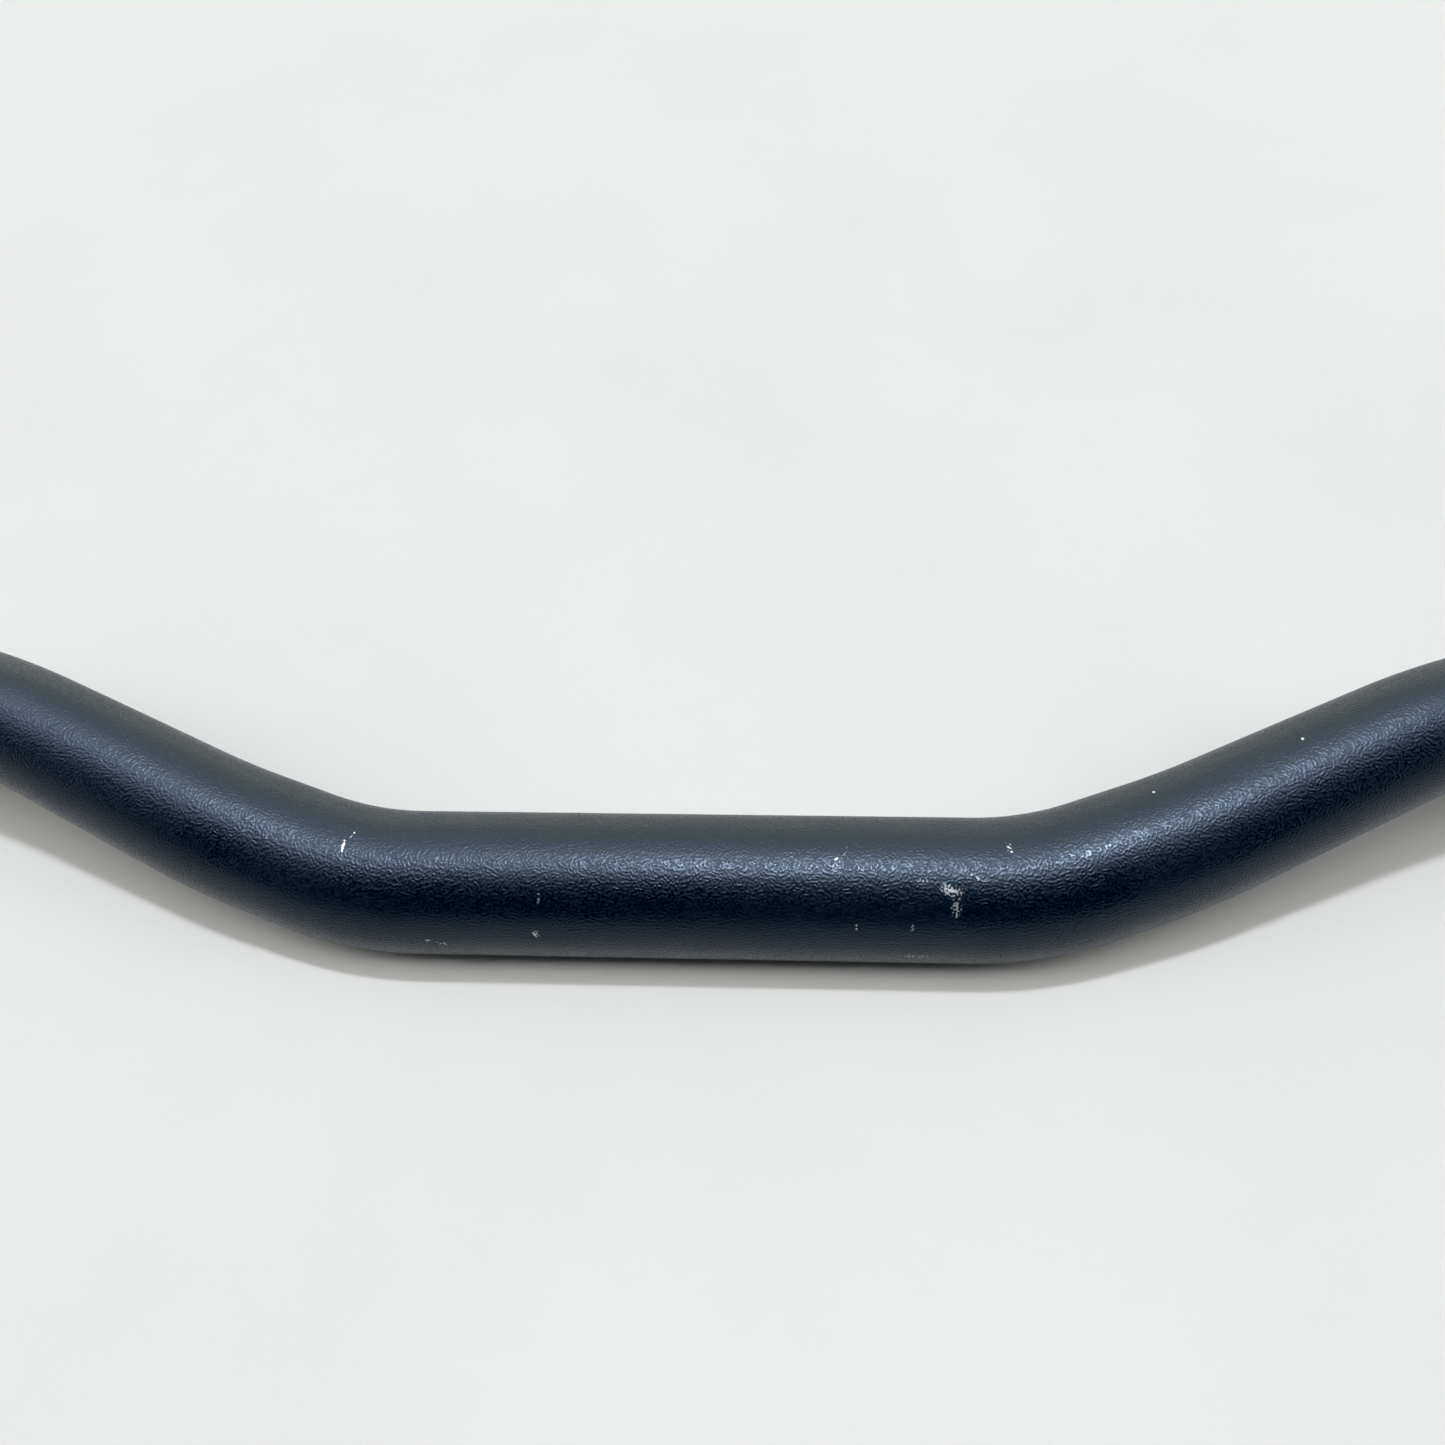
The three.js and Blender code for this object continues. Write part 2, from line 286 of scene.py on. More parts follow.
@dataclass
class BentAxis:
    """The tube's axis from the middle of the clamp section to the left end."""

    half_width: float = 375 * MM
    grip_depth: float = 88 * MM
    corners: tuple[Corner, ...] = (
        Corner((67 * MM, 0.0, 0.0), 70 * MM),
        Corner((96.5 * MM, 9.2 * MM, 5.2 * MM), 175 * MM),
        Corner((151.7 * MM, 32.4 * MM, 16.9 * MM), 116 * MM),
    )
    rim_height: float = 0.7 * MM
    rim_reach: float = 27 * MM
    runs: list[Run] = field(init=False)
    length: float = field(init=False)

    def __post_init__(self) -> None:
        """Splits the axis into straight and bent runs."""
        points = [np.zeros(3), *(np.array(c.at) for c in self.corners), self.end_point()]
        lines = [b - a for a, b in zip(points, points[1:])]
        ways = [line / np.linalg.norm(line) for line in lines]
        up = np.array([0.0, 0.0, 1.0])
        origin, start = points[0], 0.0
        self.runs = []
        for corner, point, before, after in zip(self.corners, points[1:], ways, ways[1:]):
            angle = math.acos(float(before @ after))
            bend_start = point - before * corner.radius * math.tan(angle / 2)
            straight = float(np.linalg.norm(bend_start - origin))
            self.runs.append(Run(start, straight, origin, before, up))
            start += straight
            spin = np.cross(before, after)
            spin /= np.linalg.norm(spin)
            bend = Run(start, corner.radius * angle, bend_start, before, up, spin, corner.radius)
            self.runs.append(bend)
            start += bend.length
            up = turned_about(up, spin, np.array([angle]))[0]
            origin = point + after * corner.radius * math.tan(angle / 2)
        last = float(np.linalg.norm(points[-1] - origin))
        self.runs.append(Run(start, last, origin, ways[-1], up))
        self.length = start + last

    def end_point(self) -> Array:
        """The tube's left end, at the height where the end weight's rim rests on the bench."""
        last = np.array(self.corners[-1].at)
        run = math.hypot(self.half_width - last[0], self.grip_depth - last[1])
        share = self.rim_reach / run
        height = (self.rim_height + last[2] * share) / (1 + share)
        return np.array([self.half_width, self.grip_depth, height])

    def sections(self, distance: Array) -> Sections:
        """Where the axis is, and how a section is turned, at distances from its middle.

        On a straight run the point is origin + along * s. On a bend of radius R both directions
        turn by s / R, and the point swings by as much about the bend's centre.

        Args:
            distance: Distances along the left half of the axis.

        Returns:
            The sections, one for each distance.
        """
        point, along, up = (np.zeros((len(distance), 3)) for _ in range(3))
        for run in self.runs:
            here = distance >= run.start - 1e-9
            s = distance[here] - run.start
            if run.spin is None:
                point[here] = run.origin + s[:, None] * run.along
                along[here], up[here] = run.along, run.up
                continue
            arm = -np.cross(run.spin, run.along) * run.radius
            angle = s / run.radius
            point[here] = run.origin - arm + turned_about(arm, run.spin, angle)
            along[here] = turned_about(run.along, run.spin, angle)
            up[here] = turned_about(run.up, run.spin, angle)
        return Sections(point, along, up)


@dataclass(frozen=True)
class EndFrame:
    """The frame of one end's fittings. Heights run out of the tube from its end face."""

    side: Side
    point: Array
    along: Array
    up: Array

    @classmethod
    def of(cls, axis: BentAxis, side: Side) -> EndFrame:
        """The frame at one end of the axis."""
        end = axis.sections(np.array([axis.length]))
        m = side.mirror
        return cls(side, end.point[0] * m, end.along[0] * m, end.up[0] * m)

    @property
    def front(self) -> Array:
        """The direction a quarter turn round from up, the same way on both sides' mirror images."""
        return np.cross(self.along, self.up) * self.side.value

    def place(self, radius: Array, height: Array, angle: Array) -> Array:
        """Points at a radius, a height and an angle round the grip's axis.

        point + along * height + radius * (up cos a + front sin a).

        Args:
            radius: Distances from the axis.
            height: Distances out of the tube's end.
            angle: Angles from up towards front. All three broadcast together.

        Returns:
            The broadcast shape by 3.
        """
        radius, height, angle = np.broadcast_arrays(radius, height, angle)
        ring = self.up * np.cos(angle)[..., None] + self.front * np.sin(angle)[..., None]
        return self.point + self.along * height[..., None] + radius[..., None] * ring

    def sheet(self, radius: Array, height: Array, columns: int) -> Patch:
        """A surface whose radius changes with height and with the angle round the grip's axis.

        Args:
            radius: Heights by angles, one angle more than there are columns.
            height: One height for each row.
            columns: Faces round the axis.

        Returns:
            The patch. Its surface coordinates are turns round the axis and the height.
        """
        angle = np.linspace(0, TURN, columns + 1)[None, :]
        uv = np.stack(np.broadcast_arrays(angle / TURN, height[:, None]), axis=-1)
        return Patch(self.place(radius, height[:, None], angle), uv)

    def turned(self, profile: Array, edge: Array, columns: int = 96) -> Patch:
        """A surface of revolution about the grip's axis.

        Args:
            profile: Rows by 2, radius and height.
            edge: One wear value for each row.
            columns: Faces round the axis.

        Returns:
            The patch. Its surface coordinates are turns round the axis and metres along the
            profile.
        """
        angle = np.linspace(0, TURN, columns + 1)[None, :]
        points = self.place(profile[:, :1], profile[:, 1:], angle)
        run = np.concatenate([[0], np.cumsum(np.linalg.norm(np.diff(profile, axis=0), axis=1))])
        uv = np.stack(np.broadcast_arrays(angle / TURN, run[:, None]), axis=-1)
        return Patch(points, uv, np.broadcast_to(edge[:, None], uv.shape[:2]))


# ------------------------------------------------------------------------------------ finishes


class Nodes:
    """Builds one material's nodes. Each method adds a node and returns its main output."""

    def __init__(self, name: str) -> None:
        """Starts a material that holds a shader and its output."""
        self.material = bpy.data.materials.new(name)
        self.material.use_nodes = True
        self.tree = self.material.node_tree
        self.shader = self.tree.nodes["Principled BSDF"]

    @classmethod
    def of_tree(cls, tree: bpy.types.NodeTree) -> Nodes:
        """Starts on an emptied tree that isn't a material's."""
        tree.nodes.clear()
        nodes = cls.__new__(cls)
        nodes.tree = tree
        return nodes

    def add(self, kind: str, inputs: dict[str | int, object], **settings: object) -> bpy.types.Node:
        """Adds a node, sets its options and fills or links its inputs.

        Args:
            kind: The node's type.
            inputs: Values or outputs, by input name or number.
            **settings: The node's own options.

        Returns:
            The node.
        """
        node = self.tree.nodes.new(kind)
        for option, value in settings.items():
            setattr(node, option, value)
        for socket, value in inputs.items():
            if isinstance(value, bpy.types.NodeSocket):
                self.tree.links.new(value, node.inputs[socket])
            else:
                node.inputs[socket].default_value = value
        return node

    def set(self, **values: object) -> None:
        """Sets or links the shader's sockets, with _ for each space in a socket's name."""
        for name, value in values.items():
            socket = self.shader.inputs[name.replace("_", " ")]
            if isinstance(value, bpy.types.NodeSocket):
                self.tree.links.new(value, socket)
            else:
                socket.default_value = value

    def place(self) -> bpy.types.NodeSocket:
        """Position on the object, in metres."""
        return self.add("ShaderNodeTexCoord", {}).outputs["Object"]

    def surface(self) -> bpy.types.NodeSocket:
        """The piece's own surface coordinates."""
        return self.add("ShaderNodeUVMap", {}, uv_map="surface").outputs["UV"]

    def worn_edge(self) -> bpy.types.NodeSocket:
        """How near a worn corner the surface is, 0 to 1."""
        node = self.add("ShaderNodeAttribute", {}, attribute_name="edge")
        return node.outputs["Fac"]

    def stretched(
        self, vector: bpy.types.NodeSocket, scale: tuple[float, float, float]
    ) -> bpy.types.NodeSocket:
        """The vector with each of its parts scaled."""
        return self.add("ShaderNodeMapping", {"Vector": vector, "Scale": scale}).outputs[0]

    def noise(
        self,
        vector: bpy.types.NodeSocket,
        size: float,
        detail: float = 2.0,
        roughness: float = 0.5,
        warp: float = 0.0,
    ) -> bpy.types.NodeSocket:
        """Cloudy noise from 0 to 1, with lumps of about the given size."""
        inputs = {
            "Vector": vector,
            "Scale": 1 / size,
            "Detail": detail,
            "Roughness": roughness,
            "Distortion": warp,
        }
        return self.add("ShaderNodeTexNoise", inputs).outputs["Fac"]

    def labyrinth(self, vector: bpy.types.NodeSocket, spacing: float) -> bpy.types.NodeSocket:
        """Winding ridges and valleys at an even spacing in every direction, about 0 to 1."""
        inputs = {"Vector": vector, "Scale": 0.5 / spacing, "Frequency": 2.0, "Anisotropy": 0.0}
        return self.add("ShaderNodeTexGabor", inputs, gabor_type="3D").outputs["Value"]

    def math(self, operation: str, *values: object) -> bpy.types.NodeSocket:
        """Arithmetic on one, two or three numbers."""
        return self.add("ShaderNodeMath", dict(enumerate(values)), operation=operation).outputs[0]

    def spread(
        self,
        value: bpy.types.NodeSocket,
        low: float,
        high: float,
        to_low: float = 0.0,
        to_high: float = 1.0,
    ) -> bpy.types.NodeSocket:
        """A smooth step from to_low at low to to_high at high."""
        inputs = {
            "Value": value,
            "From Min": low,
            "From Max": high,
            "To Min": to_low,
            "To Max": to_high,
        }
        return self.add("ShaderNodeMapRange", inputs, interpolation_type="SMOOTHSTEP").outputs[0]

    def ramp(
        self, value: bpy.types.NodeSocket, stops: Sequence[tuple[float, Colour]]
    ) -> bpy.types.NodeSocket:
        """A colour that passes straight from stop to stop as the value goes from 0 to 1."""
        node = self.add("ShaderNodeValToRGB", {0: value})
        elements = node.color_ramp.elements
        elements.remove(elements[1])
        elements[0].position, elements[0].color = stops[0][0], as_rgba(stops[0][1])
        for position, colour in stops[1:]:
            elements.new(position).color = as_rgba(colour)
        return node.outputs[0]

    def blend(self, share: object, first: object, second: object) -> bpy.types.NodeSocket:
        """A colour that goes from the first to the second as share goes from 0 to 1."""
        inputs = {0: share, 6: as_rgba(first), 7: as_rgba(second)}
        return self.add("ShaderNodeMix", inputs, data_type="RGBA").outputs[2]

    def bump(
        self, height: bpy.types.NodeSocket, depth: float, below: object = None, strength: float = 1.0
    ) -> bpy.types.NodeSocket:
        """A surface normal from a height field.

        Args:
            height: The field, 0 to 1.
            depth: How deep 0 lies below 1, in metres.
            below: The normal that this one adds to, if any.
            strength: How much of it shows.

        Returns:
            The normal.
        """
        inputs = {"Height": height, "Distance": depth, "Strength": strength}
        if below is not None:
            inputs["Normal"] = below
        return self.add("ShaderNodeBump", inputs).outputs[0]


def as_rgba(colour: object) -> object:
    """A colour with its alpha, or the socket that was given."""
    return colour if isinstance(colour, bpy.types.NodeSocket) else (*colour, 1.0)


@dataclass(frozen=True)
class Scuff:
    """A mark where a clamp or a tool has bitten through the coat to bare metal.

    Attributes:
        along: Distance from the middle of the bar, negative on the right half.
        around: Angle round the tube, in degrees from its top towards -Y.
        reach: Half its length.
        breadth: Half its width.
        lean: Degrees from running round the tube, towards running along it.
        bite: How hard it was rubbed. The harder, the more coat is gone and the brighter the
            metal shows.
    """

    along: float
    around: float
    reach: float
    breadth: float
    lean: float = 0.0
    bite: float = 1.0


@dataclass(frozen=True)
class WrinkledCoat:
    """Black powder coat with a fine wrinkle, over an aluminium tube.

    Attributes:
        colour: The coat's own colour.
        wrinkle: Spacing of the wrinkle's ridges.
        wrinkle_depth: Height of a ridge over the valley beside it.
        metal: The tube's own colour where it shows.
        scuffs: Marks where the metal shows.
    """

    colour: Colour = (0.0010, 0.0020, 0.0042)
    wrinkle: float = 0.68 * MM
    wrinkle_depth: float = 0.046 * MM
    metal: Colour = (0.46, 0.48, 0.48)
    scuffs: tuple[Scuff, ...] = (
        Scuff(-68.2 * MM, 7, 1.8 * MM, 0.50 * MM, 8, 1.60),
        Scuff(-67.2 * MM, -4, 1.3 * MM, 0.45 * MM, -25, 1.30),
        Scuff(-87.6 * MM, 23, 4.0 * MM, 1.30 * MM, 80, 0.47),
        Scuff(-83.0 * MM, 19, 2.4 * MM, 1.00 * MM, 70, 0.45),
        Scuff(-48.4 * MM, 14, 8.0 * MM, 2.60 * MM, 88, 0.38),
        Scuff(-50.9 * MM, 82, 0.9 * MM, 0.60 * MM, 20, 0.90),
        Scuff(-48.4 * MM, 86, 1.6 * MM, 0.90 * MM, 80, 0.85),
        Scuff(-28.6 * MM, 42, 3.6 * MM, 0.50 * MM, 0, 0.55),
        Scuff(-29.4 * MM, 72, 1.2 * MM, 1.00 * MM, 30, 1.05),
        Scuff(28.2 * MM, 9, 4.6 * MM, 1.30 * MM, 4, 0.62),
        Scuff(30.0 * MM, 3, 3.4 * MM, 1.10 * MM, 12, 0.55),
        Scuff(31.9 * MM, 61, 1.5 * MM, 0.40 * MM, 4, 0.75),
        Scuff(39.9 * MM, 44, 0.6 * MM, 0.45 * MM, 0, 0.85),
        Scuff(42.4 * MM, 60, 1.4 * MM, 0.60 * MM, 0, 0.62),
        Scuff(44.6 * MM, 24, 3.4 * MM, 1.40 * MM, 82, 0.54),
        Scuff(49.6 * MM, 30, 3.0 * MM, 1.70 * MM, 78, 1.15),
        Scuff(50.4 * MM, 41, 4.0 * MM, 1.60 * MM, 6, 0.74),
        Scuff(54.6 * MM, 20, 3.4 * MM, 1.40 * MM, 66, 0.54),
        Scuff(43.4 * MM, 93, 6.0 * MM, 1.30 * MM, 88, 0.68),
        Scuff(61.4 * MM, -1, 3.0 * MM, 0.80 * MM, 5, 0.85),
        Scuff(93.5 * MM, -21, 0.5 * MM, 0.45 * MM, 0, 1.40),
        Scuff(123.9 * MM, -12, 0.5 * MM, 0.45 * MM, 0, 1.40),
    )

    def scuff_group(self) -> bpy.types.NodeTree:
        """A node group that gives how hard one scuff has rubbed, its bite in its middle.

        The surface coordinates are measured from the scuff's middle and turned by its lean, to p
        along it and q across it. The level is bite * (1 - (p / reach)^2 - (q / breadth)^2), and
        0 outside the scuff.
        """
        tree = bpy.data.node_groups.new("scuff", "ShaderNodeTree")
        face = tree.interface
        face.new_socket("Surface", in_out="INPUT", socket_type="NodeSocketVector")
        for name in ("Along", "Around", "Reach", "Breadth", "Lean", "Bite"):
            face.new_socket(name, in_out="INPUT", socket_type="NodeSocketFloat")
        face.new_socket("Level", in_out="OUTPUT", socket_type="NodeSocketFloat")
        n = Nodes.of_tree(tree)
        given = n.add("NodeGroupInput", {}).outputs
        along, around, _ = n.add("ShaderNodeSeparateXYZ", {0: given["Surface"]}).outputs
        x = n.math("SUBTRACT", along, given["Along"])
        y = n.math("SUBTRACT", around, given["Around"])
        sine, cosine = n.math("SINE", given["Lean"]), n.math("COSINE", given["Lean"])
        p = n.math("ADD", n.math("MULTIPLY", x, sine), n.math("MULTIPLY", y, cosine))
        q = n.math("SUBTRACT", n.math("MULTIPLY", x, cosine), n.math("MULTIPLY", y, sine))
        p2 = n.math("POWER", n.math("ABSOLUTE", n.math("DIVIDE", p, given["Reach"])), 2.0)
        q2 = n.math("POWER", n.math("ABSOLUTE", n.math("DIVIDE", q, given["Breadth"])), 2.0)
        near = n.math("SUBTRACT", 1.0, n.math("ADD", p2, q2))
        level = n.math("MULTIPLY", n.math("MAXIMUM", near, 0.0), given["Bite"])
        n.add("NodeGroupOutput", {0: level})
        return tree

    def rubbed(self, n: Nodes) -> bpy.types.NodeSocket:
        """How hard each place was rubbed, the largest level of all the scuffs.

        Args:
            n: The material's nodes.

        Returns:
            0 to 1.
        """
        group = self.scuff_group()
        surface = n.surface()
        total = None
        for scuff in self.scuffs:
            inputs = {
                "Surface": surface,
                "Along": scuff.along,
                "Around": scuff.around / 360 * CLAMP_GIRTH,
                "Reach": scuff.reach,
                "Breadth": scuff.breadth,
                "Lean": math.radians(scuff.lean),
                "Bite": scuff.bite,
            }
            level = n.add("ShaderNodeGroup", inputs, node_tree=group).outputs[0]
            total = level if total is None else n.math("MAXIMUM", total, level)
        return total

    def material(self) -> bpy.types.Material:
        """The finished material.

        The metal shows where level + 1.1 (ridge - 1) + 1.5 (clumps - 0.5) is above 0.2 to 0.6, so
        the tops of the ridges go first, and only near level 1 does it show bright. The valleys
        between the ridges are the more matt.
        """
        n = Nodes("textured_black_coat")
        place = n.place()
        ridge = n.spread(n.labyrinth(place, self.wrinkle), 0.30, 0.70)
        clumps = n.noise(place, 0.6 * MM, 3.0, 0.65)
        level = self.rubbed(n)
        tops = n.math("MULTIPLY_ADD", ridge, 1.1, -1.1 - 1.5 * 0.5)
        standing = n.math("ADD", n.math("MULTIPLY_ADD", clumps, 1.5, tops), level)
        bare = n.math("MULTIPLY", n.spread(standing, 0.2, 0.6), n.spread(level, 0.0, 1.0))
        pores = n.noise(place, 0.22 * MM, 2.0, 0.6)
        swell = n.noise(place, 14 * MM, 2.0, 0.5)
        height = n.math("MULTIPLY_ADD", bare, -0.35, ridge)
        normal = n.bump(height, self.wrinkle_depth, n.bump(pores, 0.006 * MM))
        dusty = n.spread(n.noise(place, 30 * MM, 4.0, 0.6), 0.35, 0.75)
        lifted = tuple(c * 1.8 + 0.0004 for c in self.colour)
        coat = n.blend(n.math("MULTIPLY", dusty, ridge), self.colour, lifted)
        worn = n.math("MULTIPLY", bare, 0.10)
        matt = n.math("MULTIPLY_ADD", ridge, -0.22, 0.47)
        n.set(
            Base_Color=n.blend(bare, coat, self.metal),
            Metallic=n.math("MULTIPLY", bare, 0.9),
            Roughness=n.math("ADD", n.math("ADD", n.spread(swell, 0.3, 0.7, 0.0, 0.05), matt), worn),
            Specular_IOR_Level=0.5,
            Specular_Tint=(0.62, 0.80, 1.0, 1.0),
            Normal=normal,
        )
        return n.material


@dataclass(frozen=True)
class DrawnBore:
    """Bare aluminium as the tube was drawn, streaked along its length."""

    colour: Colour = (0.56, 0.57, 0.58)

    def material(self) -> bpy.types.Material:
        """The finished material."""
        n = Nodes("drawn_aluminium_bore")
        surface = n.surface()
        streaks = n.noise(n.stretched(surface, (0.03, 1.0, 1.0)), 0.4 * MM, 3.0, 0.6)
        blotches = n.noise(n.place(), 6 * MM, 4.0, 0.6)
        dull = tuple(c * 0.62 for c in self.colour)
        n.set(
            Base_Color=n.blend(n.spread(blotches, 0.35, 0.7), self.colour, dull),
            Metallic=0.95,
            Roughness=n.spread(streaks, 0.2, 0.8, 0.28, 0.5),
            Normal=n.bump(streaks, 0.012 * MM),
        )
        return n.material


@dataclass(frozen=True)
class TurnedPaint:
    """Satin black paint over turned steel, worn to the steel at its corners."""

    colour: Colour = (0.007, 0.007, 0.008)
    lighter: Colour = (0.013, 0.013, 0.015)
    steel: Colour = (0.50, 0.50, 0.51)

    def material(self) -> bpy.types.Material:
        """The finished material."""
        n = Nodes("satin_black_on_steel")
        place = n.place()
        surface = n.surface()
        lathe = n.noise(n.stretched(surface, (0.0, 1.0, 1.0)), 0.22 * MM, 1.0, 0.5)
        specks = n.noise(place, 0.5 * MM, 3.0, 0.65)
        chips = n.noise(place, 2.2 * MM, 4.0, 0.7)
        wear = n.math("MULTIPLY", n.worn_edge(), n.spread(chips, 0.50, 0.66))
        bare = n.spread(wear, 0.35, 0.75)
        fine = n.bump(specks, 0.010 * MM)
        paint = n.blend(specks, self.colour, self.lighter)
        satin = n.spread(specks, 0.3, 0.7, 0.34, 0.46)
        n.set(
            Base_Color=n.blend(bare, paint, self.steel),
            Metallic=n.math("MULTIPLY", bare, 0.95),
            Roughness=n.math("SUBTRACT", satin, n.math("MULTIPLY", bare, 0.1)),
            Specular_IOR_Level=0.5,
            Normal=n.bump(lathe, 0.016 * MM, fine),
        )
        return n.material


class PlatedTone(Enum):
    """Colours of the metal fittings, light and dark part of each."""

    ZINC = ((0.60, 0.61, 0.63), (0.44, 0.46, 0.50))
    BLUED = ((0.20, 0.21, 0.24), (0.10, 0.11, 0.14))
    OXIDE = ((0.045, 0.045, 0.050), (0.020, 0.020, 0.024))


@dataclass(frozen=True)
class PlatedSteel:
    """Steel under a thin metal or oxide layer, with fine turning marks.

    Attributes:
        name: The material's name.
        tone: Which layer it has.
        roughness: Its lowest and highest roughness.
        marks: Spacing of the turning marks along the piece.
    """

    name: str
    tone: PlatedTone
    roughness: tuple[float, float] = (0.26, 0.42)
    marks: float = 0.25 * MM

    def material(self) -> bpy.types.Material:
        """The finished material."""
        n = Nodes(self.name)
        light, dark = self.tone.value
        place = n.place()
        lathe = n.noise(n.stretched(n.surface(), (0.0, 1.0, 1.0)), self.marks, 2.0, 0.55)
        clouds = n.noise(place, 3 * MM, 4.0, 0.62)
        grain = n.noise(place, 0.3 * MM, 2.0, 0.5)
        rubbed = n.math("MULTIPLY", n.worn_edge(), 0.5)
        tint = n.blend(n.spread(clouds, 0.35, 0.68), light, dark)
        bright = tuple(min(1.0, c * 1.25 + 0.08) for c in light)
        n.set(
            Base_Color=n.blend(rubbed, tint, bright),
            Metallic=1.0,
            Roughness=n.spread(clouds, 0.3, 0.7, *self.roughness),
            Normal=n.bump(lathe, 0.010 * MM, n.bump(grain, 0.006 * MM)),
        )
        return n.material


@dataclass(frozen=True)
class MouldedRubber:
    """Matt black rubber with a bloom of powder and the faint grain of its mould."""

    colour: Colour = (0.016, 0.016, 0.017)
    bloom: Colour = (0.055, 0.055, 0.058)

    def material(self) -> bpy.types.Material:
        """The finished material."""
        n = Nodes("moulded_rubber")
        place = n.place()
        powder = n.spread(n.noise(place, 2.5 * MM, 4.0, 0.65), 0.42, 0.78)
        grain = n.noise(place, 0.35 * MM, 3.0, 0.6)
        n.set(
            Base_Color=n.blend(powder, self.colour, self.bloom),
            Roughness=n.spread(grain, 0.3, 0.7, 0.72, 0.88),
            Specular_IOR_Level=0.35,
            Normal=n.bump(grain, 0.02 * MM),
        )
        return n.material


@dataclass(frozen=True)
class BenchPaint:
    """Pale eggshell paint of the bench top."""

    colour: Colour = (0.548, 0.551, 0.545)

    def material(self) -> bpy.types.Material:
        """The finished material."""
        n = Nodes("bench_paint")
        place = n.place()
        clouds = n.noise(place, 90 * MM, 4.0, 0.55)
        grain = n.noise(place, 1.6 * MM, 3.0, 0.5)
        shade = tuple(c * 0.975 for c in self.colour)
        n.set(
            Base_Color=n.blend(n.spread(clouds, 0.35, 0.65), self.colour, shade),
            Roughness=n.spread(grain, 0.3, 0.7, 0.5, 0.6),
            Specular_IOR_Level=0.3,
            Normal=n.bump(grain, 0.01 * MM),
        )
        return n.material


# ------------------------------------------------------------------------------------ the tube


@dataclass(frozen=True)
class WallHole:
    """A round hole drilled square through the tube's wall.

    Attributes:
        from_end: Distance of its centre from the tube's end.
        around: Angle round the tube, in degrees.
        radius: The drilled radius.
    """

    from_end: float
    around: float
    radius: float


